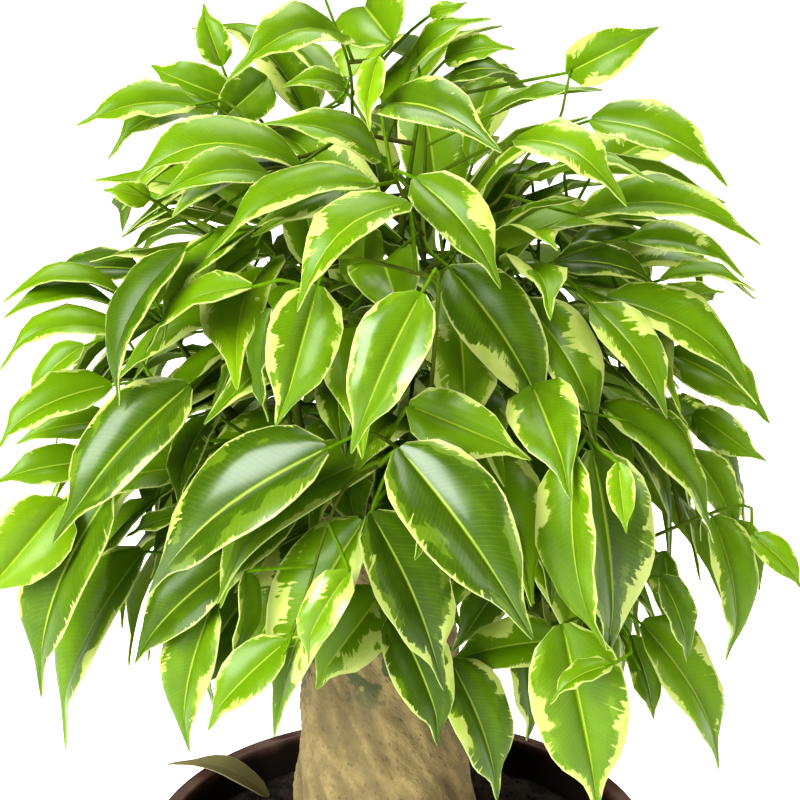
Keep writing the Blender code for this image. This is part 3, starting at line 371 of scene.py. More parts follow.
def smooth(low: float, high: float, value: float) -> float:
    """0 below low, 1 above high and an even ease between them."""
    share = min(max((value - low) / (high - low), 0.0), 1.0)
    return share * share * (3.0 - 2.0 * share)


def inside(polygon: tuple, pixel: tuple) -> bool:
    """True where a pixel lies inside a polygon.

    Args:
        polygon: Corners in the frame.
        pixel: Place in the frame.

    Returns:
        Whether it lies inside.
    """
    odd = False
    for (x0, y0), (x1, y1) in zip(polygon, polygon[1:] + polygon[:1]):
        level = (y0 > pixel[1]) != (y1 > pixel[1])
        if level and pixel[0] < x0 + (x1 - x0) * (pixel[1] - y0) / (y1 - y0):
            odd = not odd
    return odd


def blade_profile(s: float) -> float:
    """Half width as a share of the widest, by share of length: rounded base, long drip tip."""
    body = (s ** 0.62) * ((1.0 - s) ** 1.22) / 0.3113
    return body * (1.0 - 0.30 * smooth(0.62, 0.90, s))


def blade_frame(leaf: Leaf, s: float) -> tuple[Vector, Vector, Vector]:
    """Point of the midrib, and the side and upward directions there.

    Args:
        leaf: The leaf.
        s: Share of its length from the base.

    Returns:
        Point, side and up.
    """
    chord = leaf.tip - leaf.base
    along = chord.normalized()
    face = (leaf.face - along * leaf.face.dot(along)).normalized()
    point = leaf.base + chord * s + face * (leaf.arch * chord.length * math.sin(math.pi * s))
    slope = leaf.arch * math.pi * math.cos(math.pi * s)
    up = (face - along * slope).normalized()
    ahead = (along + face * slope).normalized()
    return point, ahead.cross(up).normalized(), up


def blade_ring(leaf: Leaf, s: float, thick: float) -> list[Vector]:
    """Four corners of a blade's section: left edge, top, right edge and underside.

    Args:
        leaf: The leaf.
        s: Share of its length from the base.
        thick: Thickness at the midrib.

    Returns:
        The four corners.
    """
    point, side, up = blade_frame(leaf, s)
    half = 0.5 * leaf.width * blade_profile(s)
    out = side * (half * math.cos(leaf.fold))
    lift = up * (half * math.sin(leaf.fold))
    rise = up * (0.5 * thick)
    return [point - out + lift, point + rise, point + out + lift, point - rise]


def stalk_ring(point: Vector, ahead: Vector, side: Vector, radius: float) -> list[Vector]:
    """Four corners of a stalk's section.

    Args:
        point: Middle of the section.
        ahead: Way the stalk runs.
        side: A direction across it.
        radius: Half its width.

    Returns:
        The four corners.
    """
    side = (side - ahead * side.dot(ahead)).normalized()
    up = side.cross(ahead).normalized()
    return [point - side * radius, point + up * radius, point + side * radius, point - up * radius]


def loft(rings: list[list[Vector]], tip: Vector) -> tuple[list, list]:
    """Closed skin over a row of rings that ends in a point, as vertices and triangles.

    Args:
        rings: Sections, base first.
        tip: The end point.

    Returns:
        Vertices and triangles.
    """
    vertices = [corner for ring in rings for corner in ring] + [tip]
    sides = len(rings[0])
    faces = [(2, 1, 0), (3, 2, 0)]
    for level in range(len(rings) - 1):
        low = level * sides
        for near, far in ((0, 1), (2, 1), (2, 3), (0, 3)):
            a, b = low + near, low + far
            quad = ((a, a + sides, b + sides), (a, b + sides, b))
            flip = (far - near) % sides == 1
            faces.extend(tuple(reversed(face)) if flip else face for face in quad)
    last = (len(rings) - 1) * sides
    apex = len(vertices) - 1
    faces.extend((last + step, last + (step + 1) % sides, apex) for step in range(sides))
    return vertices, faces


def leaf_skin(leaf: Leaf, extra: float = 0.0) -> tuple[list, list]:
    """Closed skin of a leaf, with its stalk and twig where it has them; extra thickens it.

    Args:
        leaf: The leaf.
        extra: Thickness to add.

    Returns:
        Vertices and triangles.
    """
    base, side, up = blade_frame(leaf, 0.0)
    rings = []
    line = leaf.stalk + [base]
    for step, (point, radius) in enumerate(zip(leaf.stalk, leaf.radii)):
        before = line[step - 1] if step else point
        ahead = (line[step + 1] - before).normalized()
        rings.append(stalk_ring(point, ahead, side, radius + 0.5 * extra))
    rings.append(stalk_ring(base, up.cross(side).normalized(), side, STALK_RADIUS + 0.5 * extra))
    rings.extend(blade_ring(leaf, s, BLADE_THICK + extra) for s in leaf.stations)
    return loft(rings, leaf.tip)


def tube_skin(points: list[Vector], radius: float, sides: int = 4) -> tuple[list, list]:
    """Flat-sided tube that holds a round one of this radius, as vertices and triangles.

    Args:
        points: Middle line.
        radius: Radius of the round tube.
        sides: Number of flats.

    Returns:
        Vertices and triangles.
    """
    corner_radius = radius / math.cos(math.pi / sides)
    vertices = []
    faces = []
    for step, point in enumerate(points):
        ahead = (points[min(step + 1, len(points) - 1)] - points[max(step - 1, 0)]).normalized()
        side = ahead.orthogonal().normalized()
        over = ahead.cross(side)
        for corner in range(sides):
            turn = 2.0 * math.pi * corner / sides
            vertices.append(point + (side * math.cos(turn) + over * math.sin(turn)) * corner_radius)
    for low in range(0, sides * (len(points) - 1), sides):
        for corner in range(sides):
            a, b = low + corner, low + (corner + 1) % sides
            faces.extend(((a, b, b + sides), (a, b + sides, a + sides)))
    last = sides * (len(points) - 1)
    for step in range(1, sides - 1):
        faces.extend(((0, step + 1, step), (last, last + step, last + step + 1)))
    return vertices, faces


def bezier(start: Vector, lead: Vector, end: Vector, count: int) -> list[Vector]:
    """Points of a curve from start to end that sets out towards lead."""
    shares = [step / (count - 1) for step in range(count)]
    return [start * (1 - t) ** 2 + lead * (2 * t * (1 - t)) + end * t ** 2 for t in shares]


def stub_ends(limb: Limb) -> tuple[Vector, Vector, Vector]:
    """Where a limb's stub leaves the trunk's axis, where it ends, and its heading.

    Args:
        limb: The limb.

    Returns:
        Root on the axis, outer end and heading.
    """
    out = direction(limb.heading, limb.rise)
    axis = Vector((TRUNK_X, 0.0, limb.height))
    flat = math.hypot(out.x, out.y)
    side_length = (STUB_START / flat) if flat > 0.5 else 0.0
    top_length = (TRUNK_TOP - limb.height) / max(out.z, 0.01)
    length = min(side_length, top_length) if side_length else top_length
    return axis, axis + out * (length + STUB_LENGTH), out


class Solid:
    """A skin kept for finding out whether pieces would cross."""

    def __init__(self, skin: tuple, branch: int, wood: bool) -> None:
        """Keep a skin.

        Args:
            skin: Vertices and triangles.
            branch: Index of its leafy branch, or one of the marks.
            wood: Whether it is wood.
        """
        vertices, faces = skin
        self.low = [min(v[axis] for v in vertices) for axis in range(3)]
        self.high = [max(v[axis] for v in vertices) for axis in range(3)]
        self.tree = BVHTree.FromPolygons(vertices, faces, all_triangles=True)
        self.branch = branch
        self.wood = wood

    def crosses(self, other: "Solid") -> bool:
        """True where two skins cut each other.

        Args:
            other: Another solid.

        Returns:
            Whether they cut each other.
        """
        for axis in range(3):
            if self.high[axis] < other.low[axis] or other.high[axis] < self.low[axis]:
                return False
        return bool(self.tree.overlap(other.tree))


class Crown:
    """The plan of all limbs, twigs and leaves, laid out so that no two of them cross."""

    # Clearance round a blade and round a stalk, and the pushes back along the sight lines
    CLEAR = 0.0013
    SPARE = 0.0006
    PUSH = 0.003
    PUSH_STEPS = 9
    RETRIES: tuple = (-1, -2, -3, -4, 1, 2, 3, 4, 5, 6)

    # How far a stalk and a twig reach for their wood, and how many roots they try
    JOIN_NEAR = 0.0235
    JOIN_FAR = 0.085
    JOIN_BACK = 0.0012
    JOIN_CHOICES = 60
    SEEN_CHOICES = 200
    LEANS: tuple = (0.35, -0.3, 1.0, 3.0, -0.8, 8.0)
    TREE_STEP = 0.004
    LOOK_STEP = 0.0025
    NEAR_BASE = 0.0045
    LIMB_STRAIGHT = 0.004
    LOWEST = 0.158

    # Stations along a blade for what must stay in view, for its outline and for the crown's edge
    MARK_STATIONS: tuple = (0.2, 0.45, 0.7)
    VIEW_STATIONS: tuple = (0.0, 0.15, 0.35, 0.6, 0.85, 1.0)
    FIT_STATIONS: tuple = (0.0, 0.3, 0.6, 1.0)

    # Leaves of the even cover: distances from the middle, the sines of their rise, how far the
    # front is drawn in and the top drawn up, their sizes, and the turn from each to the next
    FILL_SHELLS: tuple = (0.050, 0.062, 0.074, 0.080)
    FILL_LOW = -0.68
    FILL_RANGE = 1.66
    FILL_FRONT = 0.020
    FILL_TALL = 1.38
    FILL_LENGTH: tuple = (0.044, 0.060)
    FILL_RATIO: tuple = (0.42, 0.50)
    FILL_ARCH: tuple = (0.06, 0.18)
    GOLDEN = 3.0 - math.sqrt(5.0)

    def __init__(self) -> None:
        """Start an empty plan."""
        self.draw = random.Random(CROWN_SEED)
        self.leaves: list[Leaf] = []
        self.twigs: list[Twig] = []
        self.solids: list[Solid] = []
        self.joints: list[tuple[Vector, int]] = []
        self.marks: list[Vector] = []
        self.views: list[tuple] = []

    def plan(self) -> None:
        """Lay out the limbs, then the stems and leaves that show, then all the others."""
        self.add_trunk()
        for branch, limb in enumerate(LIMBS):
            self.add_limb(branch, limb)
        for stem in SEEN_STEMS:
            self.add_seen_stem(stem)
        order = sorted(SEEN_LEAVES, key=lambda seen: -sum(seen.reach))
        blades = [(seen, *self.place_seen(seen)) for seen in order]
        for seen, leaf, solid in blades:
            if leaf is not None:
                self.join_seen(seen, leaf, solid)
        self.add_fill()

    def add_trunk(self) -> None:
        """Keep the trunk's own room free."""
        axis = [Vector((TRUNK_X, 0.0, SOIL_LEVEL)), Vector((TRUNK_X, 0.0, TRUNK_TOP + 0.004))]
        self.solids.append(Solid(tube_skin(axis, trunk_radius(TRUNK_TOP) + 0.005, 10), TRUNK, True))
        for limb in LIMBS:
            root, end, _ = stub_ends(limb)
            stub = [root + (end - root) * 0.25, end]
            self.solids.append(Solid(tube_skin(stub, 1.2 * STUB_RADIUS), TRUNK, True))

    def add_limb(self, branch: int, limb: Limb) -> None:
        """Lay out one limb from the end of its stub.

        Args:
            branch: Index of the leafy branch.
            limb: Its limb.
        """
        _, stub, out = stub_ends(limb)
        start = stub + out * (2.0 * GAP)
        level = direction(limb.end_heading, 0.0) * limb.end_radius
        end = level + Vector((0.0, 0.0, limb.end_height))
        bend = start + out * self.LIMB_STRAIGHT
        lead = bend + out * (0.5 * (end - start).length)
        points = [start] + bezier(bend, lead, end, LIMB_POINTS - 1)
        radii = [
            LIMB_RADIUS + (LIMB_END_RADIUS - LIMB_RADIUS) * (step / (LIMB_POINTS - 1)) ** 0.7
            for step in range(LIMB_POINTS)
        ]
        self.twigs.append(Twig(points, radii, branch))
        self.keep_wood(points, radii, branch, 2)

    def keep_wood(self, points: list, radii: list, branch: int, skip: int = 0) -> None:
        """Store a stem's solid, and the points where others can join it past its first stretches.

        Args:
            points: Middle line.
            radii: Radius at each point.
            branch: Index of the leafy branch.
            skip: Stretches that nothing joins.
        """
        for step in range(len(points) - 1):
            piece = points[step:step + 2]
            skin = tube_skin(piece, max(radii[step:step + 2]) + GAP)
            self.solids.append(Solid(skin, branch, True))
            run = piece[1] - piece[0]
            count = max(1, round(run.length / self.TREE_STEP))
            if step >= skip:
                shares = [(place + 0.55) / count for place in range(count)]
                self.joints.extend((piece[0] + run * share, branch) for share in shares)

    def is_clear(self, solid: Solid, own: int = NO_BRANCH, wood_only: bool = False) -> bool:
        """True where a solid crosses nothing, apart from the wood of its own branch.

        Args:
            solid: The solid to test.
            own: Branch whose wood it may meet.
            wood_only: Test wood alone.

        Returns:
            Whether it is clear.
        """
        for other in self.solids:
            if other.wood and other.branch == own or wood_only and not other.wood:
                continue
            if solid.crosses(other):
                return False
        return True

    def add_seen_stem(self, stem: tuple) -> None:
        """Add a stem that shows, from the nearest limb.

        Args:
            stem: Its row in SEEN_STEMS.
        """
        points = [sight((x, y), reach / 1000) for x, y, reach in stem]
        choices = sorted(self.joints, key=lambda joint: (joint[0] - points[0]).length)
        for root, branch in choices[:self.SEEN_CHOICES]:
            far = 0.4 * (points[0] - root).length
            lead = points[0] + (points[0] - points[1]).normalized() * far
            path = bezier(root, lead, points[0], 4)[:-1] + points
            solid = Solid(tube_skin(path, 1.5 * TWIG_RADIUS + self.SPARE), branch, True)
            if self.is_clear(solid, branch):
                thin = 0.5 * TWIG_RADIUS / len(path)
                radii = [1.5 * TWIG_RADIUS - thin * step for step in range(len(path))]
                self.twigs.append(Twig(path, radii, branch))
                self.keep_wood(path, radii, branch)
                return

    def seen_leaf(self, seen: Seen, back: float) -> Leaf:
        """The blade of a leaf that shows, pushed back along its sight lines.

        Args:
            seen: The leaf as the viewer sees it.
            back: Metres to push it back.

        Returns:
            The leaf.
        """
        base = sight(seen.base, seen.reach[0] - back)
        tip = sight(seen.tip, seen.reach[1] - back)
        middle = (base + tip) * 0.5
        scale = (middle - EYE).dot(EYE_FORWARD) / EYE_FOCAL
        along = (tip - base).normalized()
        eyeward = EYE - middle
        eyeward = (eyeward - along * eyeward.dot(along)).normalized()
        side = along.cross(eyeward)
        if (side.z if abs(side.z) > 0.15 else side.x) < 0.0:
            side = -side
        shown = seen.width * scale
        true = max(shown, seen.ratio * (tip - base).length)
        roll = math.acos(shown / true) * seen.turn
        face = eyeward * math.cos(roll) + side * math.sin(roll)
        return Leaf(base, tip, face, true, seen.arch, row=SEEN_LEAVES.index(seen))

    def clear_depths(self, seen: Seen, steps: Iterable[int]) -> Iterator[tuple[Leaf, Solid]]:
        """Place a leaf that shows at one depth after another, and give it where it is clear.

        Args:
            seen: The leaf as the viewer sees it.
            steps: Pushes back along its sight lines.

        Returns:
            The leaf and its blade's solid at each such depth.
        """
        for step in steps:
            leaf = self.seen_leaf(seen, step * self.PUSH)
            solid = Solid(leaf_skin(leaf, self.CLEAR), LOOSE, False)
            if self.is_clear(solid):
                self.solids.append(solid)
                yield leaf, solid

    def place_seen(self, seen: Seen) -> tuple:
        """Put a leaf that shows at the first depth where it is clear.

        Args:
            seen: The leaf as the viewer sees it.

        Returns:
            The leaf and its solid, or None twice.
        """
        for leaf, solid in self.clear_depths(seen, range(self.PUSH_STEPS)):
            for s in self.MARK_STATIONS:
                point, side, _ = blade_frame(leaf, s)
                out = side * (0.3 * leaf.width * blade_profile(s))
                self.marks.extend((point - out, point, point + out))
            self.keep_view(leaf)
            return leaf, solid
        return None, None

    def keep_view(self, leaf: Leaf) -> None:
        """Keep where a leaf shows in the frame: its box, its distance and its outline.

        Args:
            leaf: The leaf.
        """
        rows = [blade_frame(leaf, s) for s in self.VIEW_STATIONS]
        halves = [0.5 * leaf.width * blade_profile(s) for s in self.VIEW_STATIONS]
        right = [in_frame(row[0] + row[1] * half) for row, half in zip(rows, halves)]
        left = [in_frame(row[0] - row[1] * half) for row, half in zip(rows, halves)]
        outline = right + left[-2:0:-1]
        across, down = [p[0] for p in outline], [p[1] for p in outline]
        far = min((row[0] - EYE).length for row in rows)
        box = (min(across), max(across), min(down), max(down))
        self.views.append((in_frame(leaf.base), *box, far, outline))

    def shows_over(self, leaf: Leaf, path: list[Vector]) -> bool:
        """True where a stem passes in front of another leaf that shows.

        Args:
            leaf: The leaf that it carries.
            path: Its points.

        Returns:
            Whether it does.
        """
        own = in_frame(leaf.base)
        for start, end in zip(path, path[1:]):
            count = max(2, int((end - start).length / self.LOOK_STEP))
            for step in range(count + 1):
                point = start.lerp(end, step / count)
                if (point - leaf.base).length < self.NEAR_BASE:
                    continue
                x, y = in_frame(point)
                near = (point - EYE).length
                for base, left, right, top, low, far, outline in self.views:
                    if not (near < far and left < x < right and top < y < low):
                        continue
                    other = abs(base[0] - own[0]) + abs(base[1] - own[1]) > 1.0
                    if other and inside(outline, (x, y)):
                        return True
        return False

    def join_seen(self, seen: Seen, leaf: Leaf, solid: Solid) -> None:
        """Give a leaf that shows its stalk, at another depth where it needs one.

        Args:
            seen: The leaf as the viewer sees it.
            leaf: The leaf as placed.
            solid: Its blade's solid.
        """
        if self.join(leaf, solid):
            self.leaves.append(leaf)
            return
        self.solids.remove(solid)
        for leaf, solid in self.clear_depths(seen, self.RETRIES):
            if self.join(leaf, solid):
                self.leaves.append(leaf)
                return
            self.solids.remove(solid)

    def join(self, leaf: Leaf, blade: Solid | None = None) -> bool:
        """Find a clear way from a blade back to the wood; a leaf that shows gets more tries.

        Args:
            leaf: The leaf.
            blade: Its blade's solid, for a leaf that shows.

        Returns:
            Whether a way was found.
        """
        if blade is not None:
            self.solids.remove(blade)
        ahead = (blade_frame(leaf, BLADE_START)[0] - leaf.base).normalized()
        inward = (CROWN_CENTRE - leaf.base).normalized()
        most = self.JOIN_CHOICES if blade is None else self.SEEN_CHOICES
        for strict in (True, False):
            for lean in (self.LEANS[:1] if blade is None else self.LEANS):
                knee = leaf.base + (inward * lean - ahead).normalized() * STALK_LENGTH
                if self.join_at(leaf, knee, ahead, most, strict):
                    return True
        if blade is not None:
            self.solids.append(blade)
        return False

    def join_at(self, leaf: Leaf, knee: Vector, ahead: Vector, most: int, strict: bool) -> bool:
        """Join a leaf to the nearest wood that a stalk through its knee, or straight, can reach.

        Args:
            leaf: The leaf.
            knee: Bend where its twig ends.
            ahead: Way the blade sets out.
            most: Number of roots to try.
            strict: Keep out of sight before the leaves that show.

        Returns:
            Whether a way was found.
        """
        end = leaf.base - ahead * self.JOIN_BACK
        choices = sorted(self.joints, key=lambda joint: (joint[0] - knee).length)[:most]
        for joint in choices:
            root, branch = joint
            far = (root - leaf.base).length
            if far > self.JOIN_FAR:
                break
            if far <= self.JOIN_NEAR:
                path, stalk = [], [root + (end - root) * 0.25, end]
            else:
                path, stalk = [root, knee], [knee, end]
            if strict and self.shows_over(leaf, [root] + stalk):
                continue
            wood = Solid(tube_skin(path or [root, end], TWIG_RADIUS + self.SPARE), branch, True)
            stem = Solid(tube_skin(stalk, STALK_RADIUS + self.SPARE), branch, True)
            if not self.is_clear(wood, branch, not path) or not self.is_clear(stem, branch):
                continue
            if not self.hides(wood):
                self.joints.remove(joint)
                leaf.branch = branch
                leaf.stalk = path or [root]
                leaf.radii = [TWIG_RADIUS, TWIG_END_RADIUS] if path else [STALK_RADIUS]
                if path:
                    self.keep_wood(path, leaf.radii, branch)
                near = Leaf(**{**leaf.__dict__, "stalk": stalk[:1], "radii": [STALK_RADIUS]})
                self.solids.append(Solid(leaf_skin(near, self.SPARE), branch, False))
                return True
        return False

    def hides(self, solid: Solid) -> bool:
        """True where a solid stands between the eye and a leaf that shows.

        Args:
            solid: The solid to test.

        Returns:
            Whether it hides one.
        """
        for mark in self.marks:
            ray = mark - EYE
            hit = solid.tree.ray_cast(EYE, ray.normalized(), ray.length - 0.002)
            if hit[0] is not None:
                return True
        return False

    def fill_leaf(self, index: int, attempt: int) -> Leaf:
        """One leaf of the even cover round the crown.

        Args:
            index: Number of the leaf.
            attempt: Number of the try.

        Returns:
            The leaf.
        """
        share = (index + 0.5) / FILL_COUNT
        rise = math.asin(self.FILL_LOW + self.FILL_RANGE * share)
        heading = index * math.pi * self.GOLDEN + self.draw.uniform(-0.25, 0.25)
        rise += self.draw.uniform(-0.18, 0.18)
        out = outward(heading, rise)
        shell = self.draw.choice(self.FILL_SHELLS) - 0.004 * attempt * self.draw.random()
        shell -= self.FILL_FRONT * max(0.0, -out.y)
        tall = self.FILL_TALL if out.z > 0.0 else 1.0
        base = CROWN_CENTRE + Vector((out.x * shell, out.y * shell, out.z * shell * tall))
        length = self.draw.uniform(*self.FILL_LENGTH)
        droop = 0.95 - 0.35 * out.z + self.draw.uniform(-0.3, 0.3)
        swing = self.draw.uniform(-0.5, 0.5)
        around = Vector((-math.sin(heading), math.cos(heading), 0.0))
        along = (out * 0.75 + Vector((0.0, 0.0, -droop)) + around * swing).normalized()
        tip = base + along * length
        face = out + Vector((0.0, 0.0, 0.75)) + around * self.draw.uniform(-0.4, 0.4)
        width = length * self.draw.uniform(*self.FILL_RATIO)
        arch = self.draw.uniform(*self.FILL_ARCH)
        return Leaf(base, tip, face, width, arch, stations=PLAIN_STATIONS)

    def fits(self, leaf: Leaf) -> bool:
        """True where a leaf keeps inside the crown's outline and out of its open gaps.

        Args:
            leaf: The leaf.

        Returns:
            Whether it fits.
        """
        if min(leaf.base.z, leaf.tip.z) < self.LOWEST:
            return False
        for s in self.FIT_STATIONS:
            pixel = in_frame(blade_frame(leaf, s)[0])
            if not inside(CROWN_OUTLINE, pixel):
                return False
            for x, y, radius in OPEN_GAPS:
                if math.hypot(pixel[0] - x, pixel[1] - y) < radius:
                    return False
        return True

    def add_fill(self) -> None:
        """Add the leaves that make the crown whole all round."""
        for index in range(FILL_COUNT):
            for attempt in range(FILL_TRIES):
                leaf = self.fill_leaf(index, attempt)
                if not self.fits(leaf):
                    continue
                solid = Solid(leaf_skin(leaf, self.CLEAR), LOOSE, False)
                if not self.is_clear(solid) or self.hides(solid):
                    continue
                if self.join(leaf):
                    self.leaves.append(leaf)
                    break


def fallen_leaf() -> Leaf:
    """The dry leaf that lies on the soil and over the rim, at the left.

    Returns:
        The leaf.
    """
    base = Vector((-0.0460, 0.0410, SOIL_LEVEL + 0.0017))
    tip = Vector((-0.0815, 0.0405, POT_HEIGHT + 0.0020))
    return Leaf(base, tip, Vector((0.1, 0.0, 1.0)), 0.015, 0.15, fold=0.10)


def trunk_radius(z: float) -> float:
    """Radius of the trunk before its ribs.

    Args:
        z: Height.

    Returns:
        The radius.
    """
    flare = 0.0055 * (1.0 - smooth(SOIL_LEVEL, SOIL_LEVEL + 0.055, z))
    taper = 0.0262 - 0.0044 * smooth(0.150, TRUNK_TOP, z)
    swell = 0.0016 * smooth(0.228, 0.252, z)
    return flare + taper + swell


class Finish(Enum):
    """Slots of the record that the finishes stand for."""

    LEAF = "foliage"
    DRY = "dry_leaf"
    BARK = "bark"
    SOIL = "soil"
    POT = "pot_plastic"


class Join(Enum):
    """Ways to join one solid with another."""

    ADD = "UNION"
    CUT = "DIFFERENCE"


class Parts(Enum):
    """Kinds of socket that can be split."""

    VECTOR = "XYZ"
    COLOUR = "Color"


class Graph:
    """Short hand for the nodes of one shader or geometry tree."""

    def __init__(self, tree: bpy.types.NodeTree) -> None:
        """Work on a tree."""
        self.tree = tree

    def put(self, kind: str, *values: object, **settings: object) -> bpy.types.Node:
        """Add a node.

        Args:
            kind: Node type.
            values: Numbers or sockets for its inputs in order, None to leave one.
            settings: Properties of the node.

        Returns:
            The node.
        """
        made = self.tree.nodes.new(kind)
        for name, value in settings.items():
            setattr(made, name, value)
        for place, value in enumerate(values):
            self.feed(made.inputs[place], value)
        return made

    def feed(self, socket: bpy.types.NodeSocket, value: object) -> None:
        """Link or set one input.

        Args:
            socket: The input.
            value: Number, vector, colour without alpha, or where to link from; None leaves it.
        """
        value = value.socket if isinstance(value, Value) else value
        if isinstance(value, bpy.types.NodeSocket):
            self.tree.links.new(value, socket)
        elif value is not None:
            socket.default_value = (*value, 1.0) if socket.type == "RGBA" else value

    def fill(self, sockets: object, values: dict) -> None:
        """Link or set inputs by their names."""
        for name, value in values.items():
            self.feed(sockets[name], value)

    def value(self, socket: bpy.types.NodeSocket) -> "Value":
        """A socket's number, for sums."""
        return Value(self, socket)

    def math(self, operation: str, *values: object) -> "Value":
        """Result of one sum."""
        return Value(self, self.put("ShaderNodeMath", *values, operation=operation).outputs[0])

    def vector(self, x: object, y: object, z: object) -> bpy.types.NodeSocket:
        """Vector of three values."""
        return self.put("ShaderNodeCombineXYZ", x, y, z).outputs[0]

    def split(self, socket: bpy.types.NodeSocket, kind: Parts = Parts.VECTOR) -> list["Value"]:
        """The three numbers of a vector or colour."""
        parts = self.put("ShaderNodeSeparate" + kind.value, socket).outputs
        return [self.value(part) for part in parts]

    def grade(self, value: object, low: object, high: object, first: float = 0.0,
              last: float = 1.0) -> "Value":
        """Even ease from first at low to last at high."""
        return self.value(self.put("ShaderNodeMapRange", value, low, high, first, last,
                                   interpolation_type="SMOOTHSTEP").outputs[0])

    def mix(self, share: object, start: object, end: object) -> bpy.types.NodeSocket:
        """Blend of two colours.

        Args:
            share: Share of the second colour.
            start: First colour.
            end: Second colour.

        Returns:
            The colour.
        """
        made = self.put("ShaderNodeMix", data_type="RGBA")
        for place, value in ((0, share), (6, start), (7, end)):
            self.feed(made.inputs[place], value)
        return made.outputs[2]

    def where(self) -> bpy.types.NodeSocket:
        """Place on the object, in metres."""
        return self.put("ShaderNodeTexCoord").outputs["Object"]

    def noise(self, place: object, scale: float, detail: float = 2.0,
              rough: float = 0.5) -> "Value":
        """Cloudy noise from 0 to 1.

        Args:
            place: Vector to read it at.
            scale: Clouds in one unit of that vector.
            detail: Finer layers.
            rough: Strength of the finer layers.

        Returns:
            The noise.
        """
        made = self.put("ShaderNodeTexNoise", place)
        self.fill(made.inputs, {"Scale": scale, "Detail": detail, "Roughness": rough})
        return self.value(made.outputs[0])


@dataclass(frozen=True)
class Value:
    """A number in a graph, with which sums can be written out."""

    graph: Graph
    socket: bpy.types.NodeSocket

    def __add__(self, other: object) -> "Value":
        """This plus another."""
        return self.graph.math("ADD", self, other)

    def __sub__(self, other: object) -> "Value":
        """This less another."""
        return self.graph.math("SUBTRACT", self, other)

    def __rsub__(self, other: object) -> "Value":
        """Another less this."""
        return self.graph.math("SUBTRACT", other, self)

    def __mul__(self, other: object) -> "Value":
        """This times another."""
        return self.graph.math("MULTIPLY", self, other)


def shader_group(name: str, inputs: dict, outputs: dict) -> tuple:
    """Start a group of shader nodes.

    Args:
        name: Name of the group.
        inputs: Kind of socket for each name.
        outputs: Kind of socket for each name.

    Returns:
        The group, its graph, its inputs and its outputs.
    """
    tree = bpy.data.node_groups.new(name, "ShaderNodeTree")
    for side, sockets in (("INPUT", inputs), ("OUTPUT", outputs)):
        for label, kind in sockets.items():
            tree.interface.new_socket(name=label, in_out=side, socket_type="NodeSocket" + kind)
    g = Graph(tree)
    return tree, g, g.put("NodeGroupInput").outputs, g.put("NodeGroupOutput").inputs


